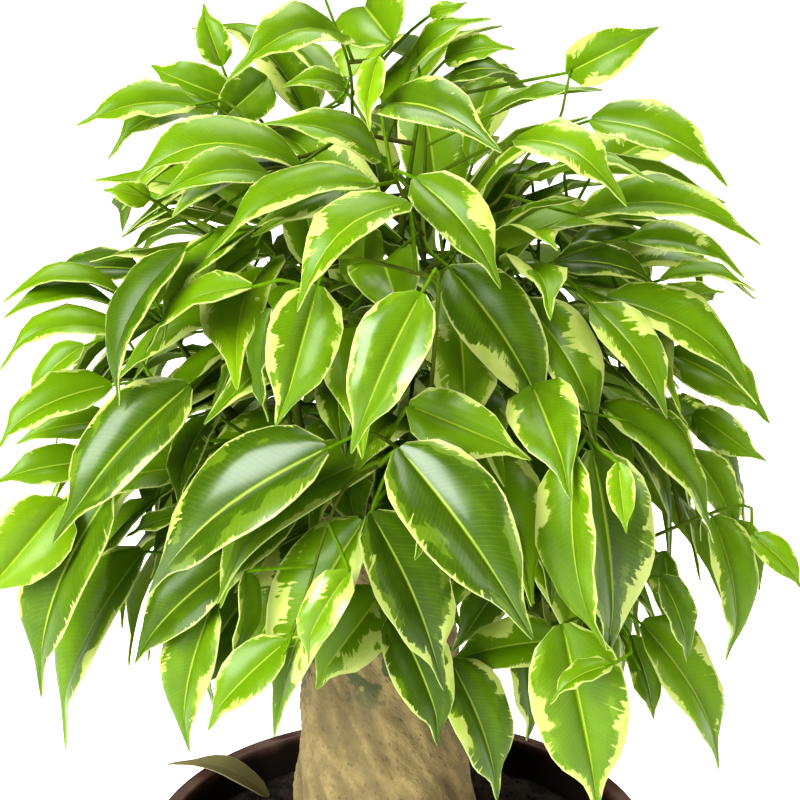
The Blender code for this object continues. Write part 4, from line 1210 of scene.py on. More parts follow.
def leaf_pattern() -> bpy.types.NodeTree:
    """Cream margins with jagged inner edges, veins and greens by age, over a blade's own map.

    Returns:
        The group.
    """
    colours = ("Old", "Grown", "Young", "Cream", "Rim", "Vein", "Below")
    tree, g, given, out = shader_group(
        "Leaf pattern",
        {"Map": "Vector", "Look": "Color", "Grey_sheen": "Float", "Patch": "Color", "Under": "Float",
         "Seed": "Float", **dict.fromkeys(colours, "Color")},
        {"Color": "Color", "Roughness": "Float", "Wax": "Float", "Height": "Float"},
    )
    along, width, _ = g.split(given["Map"])
    tone, right, left = g.split(given["Look"], Parts.COLOUR)
    patch_at, patch_right, patch_left = g.split(given["Patch"], Parts.COLOUR)
    seed, under = g.value(given["Seed"]), g.value(given["Under"])
    across = width * 2.0 - 1.0
    outer = g.math("ABSOLUTE", across)
    hand = g.math("GREATER_THAN", across, 0.0)
    vein_run = outer * -0.14 + along
    side = hand * 13.7 + seed
    streak = g.noise(g.vector(vein_run * 30.0, outer * 1.5, side), 1.0, 3.0, 0.6)
    lobe = g.noise(g.vector(vein_run * 17.0, outer * 3.4, side), 1.0, 3.0, 0.55)
    fine = g.noise(g.vector(vein_run * 150.0, outer * 3.0, side), 1.0, 2.0)
    broad = g.noise(g.vector(along * 3.4, across, seed * 1.7), 1.3, 2.0)
    cloud = g.noise(g.vector(along * 7.0, across * 3.0, seed), 1.0, 3.0)

    # Reach of the cream from the edge: the margin, the patch, sparse teeth and jagged lobes
    margin = (right - left) * hand + left
    spot = (patch_right - patch_left) * hand + patch_left
    near = g.grade(g.math("ABSOLUTE", along - patch_at), 0.03, 0.19, 1.0, 0.0)
    near = near * g.grade(streak, 0.25, 0.60, 0.45, 1.0)
    wide = spot * 0.80 * near + margin * (g.grade(broad, 0.44, 0.70) * 1.9 + 0.14)
    teeth = g.put("ShaderNodeTexVoronoi", voronoi_dimensions="1D")
    g.feed(teeth.inputs["W"], vein_run * 9.0 + side)
    sharp = g.math("MAXIMUM", g.value(teeth.outputs["Distance"]) * -2.2 + 1.0, 0.0)
    chance = g.split(teeth.outputs["Color"], Parts.COLOUR)[0]
    tooth = sharp * g.math("POWER", chance, 2.5)
    wide = tooth * (margin * 0.9 + 0.04) + wide
    jag = (streak - 0.5) * g.grade(wide, 0.0, 0.3, 0.02, 0.16)
    jag = (lobe - 0.5) * g.grade(wide, 0.0, 0.3, 0.05, 0.75) + jag
    edge = outer + jag
    inner = 1.0 - wide
    cream = g.grade(edge, inner - 0.02, inner + 0.03)

    # Greens by age, paler in a zone beside the cream that is partly grey-green tissue and partly
    # painted sheen, with dark specks
    # The pale zone is partly grey-green tissue and partly painted sheen
    zone = g.value(given["Grey_sheen"]) * g.grade(cloud, 0.42, 0.62) * -0.5 + inner
    grey_sheen = g.grade(edge, zone - 0.03, zone + 0.04)
    tone = tone + (cloud - 0.5) * 0.26 + (fine - 0.5) * 0.10
    green = g.mix(g.grade(tone, 0.0, 0.5), given["Old"], given["Grown"])
    green = g.mix(g.grade(tone, 0.5, 1.0), green, given["Young"])
    green = g.mix(grey_sheen * 0.75, green, g.mix(0.40, green, given["Below"]))
    speck = g.noise(g.vector(along * 95.0, across * 40.0, seed), 1.0, 0.0)
    green = g.mix(g.grade(speck, 0.70, 0.80, 0.0, 0.35), green, given["Old"])
    tinted = g.mix(0.5, given["Cream"], given["Young"])
    white = g.mix(g.grade(cloud, 0.35, 0.70, 0.0, 0.85), given["Cream"], tinted)
    colour = g.mix(cream, green, white)
    colour = g.mix(g.grade(outer, 0.955, 0.985, 0.0, 0.9), colour, given["Rim"])

    # Midrib, side veins and the fine net between them
    bent = (cloud - 0.5) * 0.012 + vein_run
    wave = g.math("SINE", bent * (2.0 * math.pi * SIDE_VEINS))
    lateral = g.grade(wave, 0.80, 1.0) * g.grade(fine, 0.3, 0.7, 0.35, 1.0)
    rib = g.grade(outer, along * -0.006 + 0.020, 0.046, 1.0, 0.0)
    cells = g.put("ShaderNodeTexVoronoi", g.vector(vein_run * 62.0, across * 15.0, seed),
                  feature="DISTANCE_TO_EDGE")
    net = g.grade(cells.outputs["Distance"], 0.02, 0.12, 1.0, 0.0)
    colour = g.mix(g.math("MAXIMUM", lateral * 0.16, net * 0.07), colour, given["Vein"])
    colour = g.mix(rib * 0.82, colour, given["Vein"])
    g.fill(out, {
        "Color": g.mix(under * 0.55, colour, given["Below"]),
        "Roughness": under * 0.22 + (cream * 0.10 + 0.30) + (streak - 0.5) * 0.12,
        "Wax": g.grade(given["Grey_sheen"], 0.35, 0.95) * g.grade(under, 0.0, 1.0, 1.0, 0.2),
        "Height": lateral * -0.07 + (rib * 0.1 + cloud * 0.5),
    })
    return tree


def mottle() -> bpy.types.NodeTree:
    """Uneven tints in spots and runs, for bark, twigs, soil and the pot.

    Returns:
        The group.
    """
    tree, g, given, out = shader_group(
        "Mottle",
        {"Place": "Vector", "Scale": "Float", "Amount": "Float", "Ground": "Color",
         "Tint": "Color", "Spot": "Color", "Spots": "Float"},
        {"Color": "Color", "Mask": "Float", "Height": "Float"},
    )
    scaled = g.put("ShaderNodeVectorMath", given["Place"], operation="SCALE")
    g.feed(scaled.inputs["Scale"], given["Scale"])
    place = scaled.outputs[0]
    cloud = g.noise(place, 1.0, 4.0, 0.62)
    grain = g.noise(place, 7.0, 3.0, 0.6)
    mask = g.grade(cloud, 0.36, 0.64)
    cells = g.put("ShaderNodeTexVoronoi", place)
    cells.inputs["Scale"].default_value = 2.3
    spots = g.grade(cells.outputs["Distance"], 0.10, 0.26, 1.0, 0.0) * given["Spots"]
    amount = g.value(given["Amount"])
    colour = g.mix(mask * amount, given["Ground"], given["Tint"])
    colour = g.mix(g.grade(grain, 0.4, 0.7) * (amount * 0.5), colour, given["Tint"])
    g.fill(out, {
        "Color": g.mix(spots, colour, given["Spot"]), "Mask": mask,
        "Height": grain * 0.5 + (cloud - spots * 0.6),
    })
    return tree


@dataclass(frozen=True)
class BladeColours:
    """Colours of a blade's parts, and the share of light that goes through it."""

    old: tuple
    grown: tuple
    young: tuple
    cream: tuple
    rim: tuple
    vein: tuple
    below: tuple
    glow: float
    gloss: float


@dataclass(frozen=True)
class Mottling:
    """Uneven tints of a finish: size and share of the clouds, and share of the spots."""

    scale: float
    amount: float
    ground: tuple
    tint: tuple
    spot: tuple
    spots: float


FRESH = BladeColours(
    (0.031, 0.070, 0.001), (0.124, 0.236, 0.001), (0.245, 0.385, 0.001),
    (0.50, 0.55, 0.15), (0.53, 0.58, 0.22), (0.40, 0.52, 0.05), (0.23, 0.35, 0.02), 0.28, 0.24)
DRY = BladeColours(
    (0.07, 0.055, 0.022), (0.16, 0.14, 0.055), (0.24, 0.21, 0.09), (0.30, 0.27, 0.16),
    (0.26, 0.24, 0.13), (0.24, 0.21, 0.10), (0.20, 0.18, 0.09), 0.10, 0.12)
WOOD = Mottling(420.0, 0.8, (0.040, 0.038, 0.006), (0.070, 0.066, 0.012), (0.12, 0.11, 0.04), 0.3)
STALK = Mottling(300.0, 0.6, (0.055, 0.125, 0.001), (0.110, 0.210, 0.003), (0.15, 0.24, 0.02), 0.2)
BARK = Mottling(
    230.0, 0.85, (0.29, 0.215, 0.080), (0.175, 0.126, 0.045), (0.12, 0.088, 0.030), 0.55)
CRUMBS = Mottling(
    260.0, 0.8, (0.010, 0.007, 0.005), (0.035, 0.024, 0.016), (0.085, 0.060, 0.038), 0.25)
PLASTIC = Mottling(
    55.0, 0.4, (0.052, 0.021, 0.013), (0.040, 0.016, 0.010), (0.085, 0.045, 0.032), 0.06)
# Painted shade for the hollows of the bark
BARK_HOLLOW_SHADE = (0.105, 0.078, 0.028)
MOSS = (0.040, 0.060, 0.014)
BARK_PIT = (0.022, 0.034, 0.012)
# Painted shade on the pot's inner wall below the rim
POT_INNER_SHADE = (0.010, 0.007, 0.005)
POT_DUST = (0.20, 0.14, 0.10)


class Palette:
    """All finishes, with the groups that they share."""

    # Middle of the pot's wall: its radius at the foot, and its lean outwards
    WALL_FOOT = 0.0545
    WALL_LEAN = 0.1525

    def __init__(self) -> None:
        """Make the groups and every finish."""
        self.leaf_group = leaf_pattern()
        self.mottle_group = mottle()
        self.leaf = self.make_leaf("leaf", FRESH)
        self.dry = self.make_leaf("dry_leaf", DRY)
        self.twig = self.make_twig()
        self.bark = self.make_bark()
        self.soil = self.make_soil()
        self.pot = self.make_pot()

    def start(self, name: str) -> tuple[bpy.types.Material, Graph, bpy.types.Node]:
        """Start a finish.

        Args:
            name: Name of the material.

        Returns:
            The material, its graph and its main shader.
        """
        made = bpy.data.materials.new(name)
        made.use_nodes = True
        return made, Graph(made.node_tree), made.node_tree.nodes["Principled BSDF"]

    def mottled(self, g: Graph, place: object, look: Mottling) -> object:
        """Put the mottle into a finish and give its outputs."""
        return g.put("ShaderNodeGroup", place, *astuple(look), node_tree=self.mottle_group).outputs

    def bump(self, g: Graph, shader: bpy.types.Node, height: object, strength: float,
             depth: float) -> None:
        """Raise a height on the shader's normal.

        Args:
            g: Graph of the finish.
            shader: Its main shader.
            height: Height from 0 to 1.
            strength: Share that shows.
            depth: Metres from the lowest to the highest.
        """
        made = g.put("ShaderNodeBump")
        g.fill(made.inputs, {"Strength": strength, "Distance": depth, "Height": height})
        g.feed(shader.inputs["Normal"], made.outputs[0])

    def make_leaf(self, name: str, colours: BladeColours) -> bpy.types.Material:
        """Glossy, slightly translucent blade.

        Args:
            name: Name of the material.
            colours: Its colours.

        Returns:
            The material.
        """
        made, g, shader = self.start(name)
        look, patch, seed = (g.put("ShaderNodeAttribute", attribute_name=label).outputs
                             for label in ("look", "patch", "seed"))
        chart = g.put("ShaderNodeUVMap", uv_map="blade").outputs[0]
        *tints, glow, gloss = astuple(colours)
        pattern = g.put(
            "ShaderNodeGroup", chart, look["Color"], look["Alpha"], patch["Color"],
            patch["Alpha"], seed["Fac"], *tints, node_tree=self.leaf_group).outputs
        g.fill(shader.inputs, {
            "Base Color": pattern["Color"], "Roughness": pattern["Roughness"],
            "Specular IOR Level": gloss, "Coat Weight": g.value(pattern["Wax"]) * (glow * 2.2),
            "Coat Roughness": 0.20})
        self.bump(g, shader, pattern["Height"], 0.35, 0.0003)
        through = g.put("ShaderNodeBsdfTranslucent", g.mix(0.5, pattern["Color"], colours.young))
        both = g.put("ShaderNodeMixShader", glow, shader.outputs[0], through.outputs[0])
        g.feed(made.node_tree.nodes["Material Output"].inputs[0], both.outputs[0])
        return made

    def make_twig(self) -> bpy.types.Material:
        """Olive-brown twigs that turn green towards the leaf stalks.

        Returns:
            The material.
        """
        made, g, shader = self.start("twig")
        age = g.put("ShaderNodeAttribute", attribute_name="look").outputs["Fac"]
        where = g.where()
        wood, stalk = (self.mottled(g, where, look) for look in (WOOD, STALK))
        g.fill(shader.inputs, {
            "Base Color": g.mix(age, wood["Color"], stalk["Color"]), "Roughness": 0.6,
            "Specular IOR Level": 0.02})
        self.bump(g, shader, wood["Height"], 0.4, 0.0003)
        return made

    def make_bark(self) -> bpy.types.Material:
        """Tan bark with painted shade in its hollows, a greener top and small dark pits.

        Returns:
            The material.
        """
        made, g, shader = self.start("bark")
        where = g.where()
        x, y, height = g.split(where)
        stretched = g.vector(height * 0.55 + x, height * 0.3 + y, height * 0.5)
        skin = self.mottled(g, stretched, BARK)
        hollow_shade = g.value(g.put("ShaderNodeAttribute", attribute_name="hollow_shade").outputs["Fac"])
        # Painted shade darkens the trunk's hollows
        colour = g.mix(hollow_shade * 0.62, skin["Color"], BARK_HOLLOW_SHADE)
        mossy = g.grade(height, 0.197, 0.210) * g.grade(g.noise(where, 120.0, 3.0), 0.47, 0.54)
        colour = g.mix(mossy * 0.9, colour, MOSS)
        pits = g.put("ShaderNodeTexVoronoi", stretched)
        pits.inputs["Scale"].default_value = 105.0
        pit = g.grade(pits.outputs["Distance"], 0.12, 0.30, 1.0, 0.0)
        pit = pit * g.grade(g.noise(where, 40.0, 0.0), 0.52, 0.60) * g.grade(height, 0.190, 0.205)
        g.fill(shader.inputs, {
            "Base Color": g.mix(pit * 0.85, colour, BARK_PIT), "Roughness": 0.78})
        self.bump(g, shader, g.value(skin["Height"]) - pit, 0.8, 0.0012)
        return made

    def make_soil(self) -> bpy.types.Material:
        """Damp near-black potting soil.

        Returns:
            The material.
        """
        made, g, shader = self.start("soil")
        crumbs = self.mottled(g, g.where(), CRUMBS)
        g.fill(shader.inputs, {
            "Base Color": crumbs["Color"], "Specular IOR Level": 0.12,
            "Roughness": g.grade(crumbs["Mask"], 0.0, 1.0, 0.70, 0.95)})
        self.bump(g, shader, crumbs["Height"], 0.9, 0.0012)
        return made

    def make_pot(self) -> bpy.types.Material:
        """Satin moulded plastic, pale dust along the rim's top, painted shade on the inner wall
        under the rim, dull in streaks.

        Returns:
            The material.
        """
        made, g, shader = self.start("pot")
        where = g.where()
        streaked = g.put("ShaderNodeVectorMath", where, (1.0, 1.0, 0.25), operation="MULTIPLY")
        skin = self.mottled(g, streaked.outputs[0], PLASTIC)
        mask, height = g.value(skin["Mask"]), g.split(where)[2]
        flat = g.put("ShaderNodeVectorMath", where, (1.0, 1.0, 0.0), operation="MULTIPLY")
        spread = g.put("ShaderNodeVectorMath", flat.outputs[0], operation="LENGTH")
        middle = height * self.WALL_LEAN + self.WALL_FOOT
        inside_wall = g.grade(g.value(spread.outputs["Value"]) - middle, -0.0004, 0.0004, 1.0, 0.0)
        # Painted shade on the inner wall below the rim, darkest down inside it
        inner_shade = g.grade(mask * 0.002 + height, POT_HEIGHT - 0.0030, POT_HEIGHT - 0.0005, 0.92, 0.0)
        inner_shade = inner_shade * g.grade(height, 0.004, 0.006) * inside_wall
        dust = g.grade(height, POT_HEIGHT - 0.0035, POT_HEIGHT, 0.0, 0.35) * mask
        g.fill(shader.inputs, {
            "Base Color": g.mix(dust, g.mix(inner_shade, skin["Color"], POT_INNER_SHADE), POT_DUST),
            "Roughness": g.grade(mask, 0.0, 1.0, 0.34, 0.48), "Specular IOR Level": 0.22})
        self.bump(g, shader, skin["Height"], 0.15, 0.0002)
        return made


def ride(made: bpy.types.Object, slot: Finish, *nodes: str) -> None:
    """Report a finished piece and let it stand for its nodes.

    Args:
        made: The piece.
        slot: Its finish; not used.
        nodes: Nodes of the frame that it stands for.
    """
    if nodes:
        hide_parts(*nodes)
    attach(made, "root")
    LOG.info("%s: %d faces", made.name, len(made.data.polygons))


def add_object(name: str, data: bpy.types.ID) -> bpy.types.Object:
    """Add an object of some data to the scene, at the origin."""
    made = bpy.data.objects.new(name, data)
    bpy.context.scene.collection.objects.link(made)
    return made


def place_object(name: str, mesh: bpy.types.Mesh,
                 *finishes: bpy.types.Material) -> bpy.types.Object:
    """Object of a mesh, at the origin.

    Args:
        name: Its name.
        mesh: Its mesh.
        finishes: Materials in the order of its slots.

    Returns:
        The object.
    """
    made = add_object(name, mesh)
    if mesh.materials:
        mesh.materials.clear()
    for finish in finishes:
        mesh.materials.append(finish)
    return made


def crease(mesh: bpy.types.Mesh, angle: float) -> None:
    """Shade a mesh smooth, apart from edges that bend by more than an angle in degrees."""
    mesh.shade_smooth()
    mesh.set_sharp_from_angle(angle=math.radians(angle))


def ringed_mesh(shape: bmesh.types.BMesh, rings: list[list], inward: bool,
                name: str) -> bpy.types.Mesh:
    """Close a row of rings to a solid; the shape is used up.

    Args:
        shape: The shape that holds the rings.
        rings: Vertices of each ring.
        inward: Wind the faces the other way round.
        name: Name of the mesh.

    Returns:
        The mesh.
    """
    for low, high in zip(rings, rings[1:]):
        for step in range(len(low)):
            after = (step + 1) % len(low)
            first, *others = low[step], low[after], high[after], high[step]
            shape.faces.new((first, *reversed(others)) if inward else (first, *others))
    start, end = (rings[0], rings[-1]) if inward else (rings[-1], rings[0])
    shape.faces.new(start)
    shape.faces.new(list(reversed(end)))
    bmesh.ops.recalc_face_normals(shape, faces=shape.faces)
    mesh = bpy.data.meshes.new(name)
    shape.to_mesh(mesh)
    shape.free()
    return mesh


def plain_mesh(source: bpy.types.Object, name: str) -> bpy.types.Mesh:
    """Mesh of an object with its modifiers applied; the object is removed.

    Args:
        source: The object.
        name: Name of the mesh.

    Returns:
        The mesh.
    """
    bpy.context.view_layer.update()
    graph = bpy.context.evaluated_depsgraph_get()
    mesh = bpy.data.meshes.new_from_object(source.evaluated_get(graph))
    mesh.name = name
    bpy.data.objects.remove(source, do_unlink=True)
    return mesh


def joined_mesh(body: bpy.types.Object, tool: bpy.types.Object, way: Join,
                name: str) -> bpy.types.Mesh:
    """Mesh of a body with another object added to it or cut from it; both are removed.

    Args:
        body: The body, with the modifiers that come first.
        tool: The other object.
        way: Whether it is added or cut.
        name: Name of the mesh.

    Returns:
        The mesh.
    """
    step = body.modifiers.new("Join", "BOOLEAN")
    step.operation = way.value
    step.object = tool
    step.solver = "EXACT"
    step.use_self = way is Join.ADD
    mesh = plain_mesh(body, name)
    bpy.data.objects.remove(tool, do_unlink=True)
    return mesh


@dataclass
class BladeForm:
    """Fine form of one blade: how many rows it has, its waves, bulge, tip and thickness."""

    along: int = 11
    across: tuple = (1.0, 0.62, 0.22)
    wave: float = 0.0007
    waves: float = 2.3
    phase: float = 0.0
    curl: float = 0.0012
    swing: float = 0.0
    bulge: float = 0.10
    thick: float = 0.0005

    def stations(self) -> list[float]:
        """Shares of the length at which the rows lie, closer towards the tip."""
        turns = [0.5 * math.pi * step / self.along for step in range(self.along + 1)]
        return [0.006 + 0.990 * math.sin(turn) ** 1.12 for turn in turns]

    def spread(self) -> list[float]:
        """Shares of the half width at which the points of a row lie."""
        return [-t for t in self.across] + [0.0, *reversed(self.across)]

    def half(self, s: float) -> float:
        """Half width as a share of the widest: rounded base, long narrow drip tip."""
        body = max(math.sin(math.pi * s ** 0.62), 0.0) ** 0.85
        tail = 0.13 * smooth(0.70, 0.90, s) * (1.0 - s) ** 0.5
        return body * (1.0 - 0.60 * smooth(0.62, 0.87, s)) + tail

    def corner(self, leaf: Leaf, s: float, t: float) -> tuple[Vector, Vector]:
        """Upper and lower point of the blade.

        Args:
            leaf: The leaf.
            s: Share of the length from the base.
            t: Share of the half width, positive on the right hand.

        Returns:
            The two points.
        """
        point, side, up = blade_frame(leaf, s)
        half = 0.5 * leaf.width * self.half(s)
        far = abs(t)
        ripple = math.sin(2.0 * math.pi * self.waves * s + self.phase + (1.9 if t > 0 else 0.0))
        rise = half * math.sin(leaf.fold) * far ** 1.2 + self.bulge * half * math.sin(math.pi * far)
        rise += self.wave * ripple * far * far * smooth(0.0, 0.2, s) * (1.0 - smooth(0.75, 1.0, s))
        end = smooth(0.70, 1.0, s)
        rise -= self.curl * end
        drift = self.swing * end
        thick = self.thick * (1.0 - 0.45 * far)
        place = point + side * (t * half * math.cos(leaf.fold) + drift) + up * rise
        rib = 0.0004 * (1.0 - 0.7 * s) if far < 0.05 else 0.0
        return place + up * (0.5 * thick - 0.5 * rib), place - up * (0.5 * thick + rib)


# Ranges in which the fresh blades' forms lie
FORM_RANGES = {
    "wave": (0.0003, 0.0009), "waves": (1.6, 3.4), "phase": (0.0, 6.28),
    "curl": (-0.0004, 0.0022), "swing": (-0.0016, 0.0016), "bulge": (0.12, 0.21),
}


class Gather:
    """Vertices, faces and looks gathered for one mesh."""

    def __init__(self) -> None:
        """Start an empty mesh."""
        self.places: list[tuple] = []
        self.faces: list[tuple] = []
        self.slots: list[int] = []
        self.charts: list[tuple] = []
        self.looks: list[tuple] = []
        self.patches: list[tuple] = []
        self.seeds: list[float] = []

    def vertex(self, place: Vector, chart: tuple, look: tuple, patch: tuple, seed: float) -> int:
        """Add a vertex.

        Args:
            place: Where it is.
            chart: Its place on the blade's map.
            look: Tone, right margin, left margin and grey, whose pale zone is partly painted sheen.
            patch: Place, right width and left width of a patch, and 1 on the underside.
            seed: Number that varies the pattern.

        Returns:
            Its index.
        """
        self.places.append(tuple(place))
        self.charts.append(chart)
        self.looks.append(look)
        self.patches.append(patch)
        self.seeds.append(seed)
        return len(self.places) - 1

    def face(self, corners: tuple, slot: int) -> None:
        """Add a face with a material slot."""
        self.faces.append(corners)
        self.slots.append(slot)

    def tube(self, points: list, radii: tuple, ages: tuple, sides: int) -> None:
        """Add a round stem with closed ends.

        Args:
            points: Its middle line.
            radii: Radius at each point.
            ages: 0 for wood to 1 for green at each point.
            sides: Number of flats.
        """
        rings = []
        side = (points[1] - points[0]).orthogonal().normalized()
        for step, (point, radius, age) in enumerate(zip(points, radii, ages)):
            ahead = (points[min(step + 1, len(points) - 1)] - points[max(step - 1, 0)]).normalized()
            side = (side - ahead * side.dot(ahead)).normalized()
            over = ahead.cross(side)
            ring = []
            for corner in range(sides):
                turn = 2.0 * math.pi * corner / sides
                place = point + (side * math.cos(turn) + over * math.sin(turn)) * radius
                look = (age, age, age, 1.0)
                ring.append(self.vertex(place, (0.0, 0.0), look, (0, 0, 0, 1.0), 0.0))
            rings.append(ring)
        for low, high in zip(rings, rings[1:]):
            for corner in range(sides):
                after = (corner + 1) % sides
                self.face((low[corner], low[after], high[after], high[corner]), 1)
        self.face(tuple(reversed(rings[0])), 1)
        self.face(tuple(rings[-1]), 1)

    def blade(self, leaf: Leaf, look: Look, form: BladeForm, seed: float) -> None:
        """Add a thin closed blade.

        Args:
            leaf: The leaf.
            look: Its colouring.
            form: Its fine form.
            seed: Number that varies the pattern.
        """
        tone = (look.tone, look.right, look.left, look.grey_sheen)
        patch = (look.patch_at, look.patch_right, look.patch_left)
        top, below = [], []
        for s in form.stations():
            rows = ([], [])
            for t in form.spread():
                high, low = form.corner(leaf, s, t)
                chart = (s, 0.5 + 0.5 * t)
                rows[0].append(self.vertex(high, chart, tone, (*patch, 0.0), seed))
                rows[1].append(self.vertex(low, chart, tone, (*patch, 1.0), seed))
            top.append(rows[0])
            below.append(rows[1])
        last = len(top[0]) - 1
        for k in range(len(top) - 1):
            for j in range(last):
                self.face((top[k][j], top[k + 1][j], top[k + 1][j + 1], top[k][j + 1]), 0)
                self.face((below[k][j], below[k][j + 1], below[k + 1][j + 1], below[k + 1][j]), 0)
            self.face((top[k][0], below[k][0], below[k + 1][0], top[k + 1][0]), 0)
            self.face((top[k][last], top[k + 1][last], below[k + 1][last], below[k][last]), 0)
        for j in range(last):
            self.face((top[0][j], top[0][j + 1], below[0][j + 1], below[0][j]), 0)
            self.face((top[-1][j + 1], top[-1][j], below[-1][j], below[-1][j + 1]), 0)

    def mesh(self, name: str) -> bpy.types.Mesh:
        """Make the mesh with its map and attributes.

        Args:
            name: Name of the mesh.

        Returns:
            The mesh.
        """
        made = bpy.data.meshes.new(name)
        made.from_pydata(self.places, [], self.faces)
        made.polygons.foreach_set("material_index", self.slots)
        corners = [vertex for face in self.faces for vertex in face]
        chart = made.uv_layers.new(name="blade")
        chart.data.foreach_set("uv", [value for vertex in corners for value in self.charts[vertex]])
        for label, values in (("look", self.looks), ("patch", self.patches)):
            layer = made.attributes.new(label, "FLOAT_COLOR", "POINT")
            layer.data.foreach_set("color", [value for row in values for value in row])
        made.attributes.new("seed", "FLOAT", "POINT").data.foreach_set("value", self.seeds)
        made.update()
        crease(made, 48)
        return made

    def tool(self, name: str) -> bpy.types.Object:
        """Make a plain object without looks, to be joined with another."""
        mesh = bpy.data.meshes.new(name)
        mesh.from_pydata(self.places, [], self.faces)
        return place_object(name, mesh)


def rounded(points: list[Vector], values: list[tuple], passes: int = 2,
            share: float = 0.22) -> tuple[list, list]:
    """Round the corners of a line.

    Args:
        points: The line.
        values: Radius and age at each point.
        passes: How often corners are cut.
        share: Share of each stretch that is cut.

    Returns:
        Points and values.
    """
    for _ in range(passes):
        if len(points) < 3:
            return points, values
        new_points, new_values = [points[0]], [values[0]]
        for step in range(1, len(points) - 1):
            for other in (step - 1, step + 1):
                new_points.append(points[step].lerp(points[other], share))
                pair = zip(values[step], values[other])
                new_values.append(tuple(a + (b - a) * share for a, b in pair))
        points, values = new_points + [points[-1]], new_values + [values[-1]]
    return points, values


class InnerCrown(Crown):
    """The crown's plan with the small inner leaves that only the looks have."""

    INNER_COUNT = 420
    INNER_TRIES = 4
    INNER_SEED = 21
    INNER_SHELL: tuple = (0.026, 0.080)
    INNER_LENGTH: tuple = (0.028, 0.050)
    INNER_TALL = 1.3

    def add_inner(self) -> None:
        """Add small leaves in the room that is left inside the crown."""
        draw = random.Random(self.INNER_SEED)
        for _ in range(self.INNER_COUNT):
            for _ in range(self.INNER_TRIES):
                leaf = self.inner_leaf(draw)
                if not self.fits(leaf):
                    continue
                solid = Solid(leaf_skin(leaf, self.SPARE), LOOSE, False)
                if self.is_clear(solid) and not self.hides(solid) and self.join(leaf):
                    self.leaves.append(leaf)
                    break

    def inner_leaf(self, draw: random.Random) -> Leaf:
        """One small leaf inside the crown.

        Args:
            draw: Source of random numbers.

        Returns:
            The leaf.
        """
        out = outward(draw.uniform(0.0, 2.0 * math.pi), draw.uniform(-0.5, 1.2))
        shell = draw.uniform(*self.INNER_SHELL)
        base = CROWN_CENTRE + Vector((out.x, out.y, out.z * self.INNER_TALL)) * shell
        length = draw.uniform(*self.INNER_LENGTH)
        lean = [draw.uniform(*ends) for ends in ((-0.5, 0.5), (-0.5, 0.5), (-1.1, 0.1))]
        tip = base + (out + Vector(lean)).normalized() * length
        face = out + Vector((0.0, 0.0, 0.9))
        return Leaf(base, tip, face, length * 0.44, 0.12, stations=PLAIN_STATIONS)


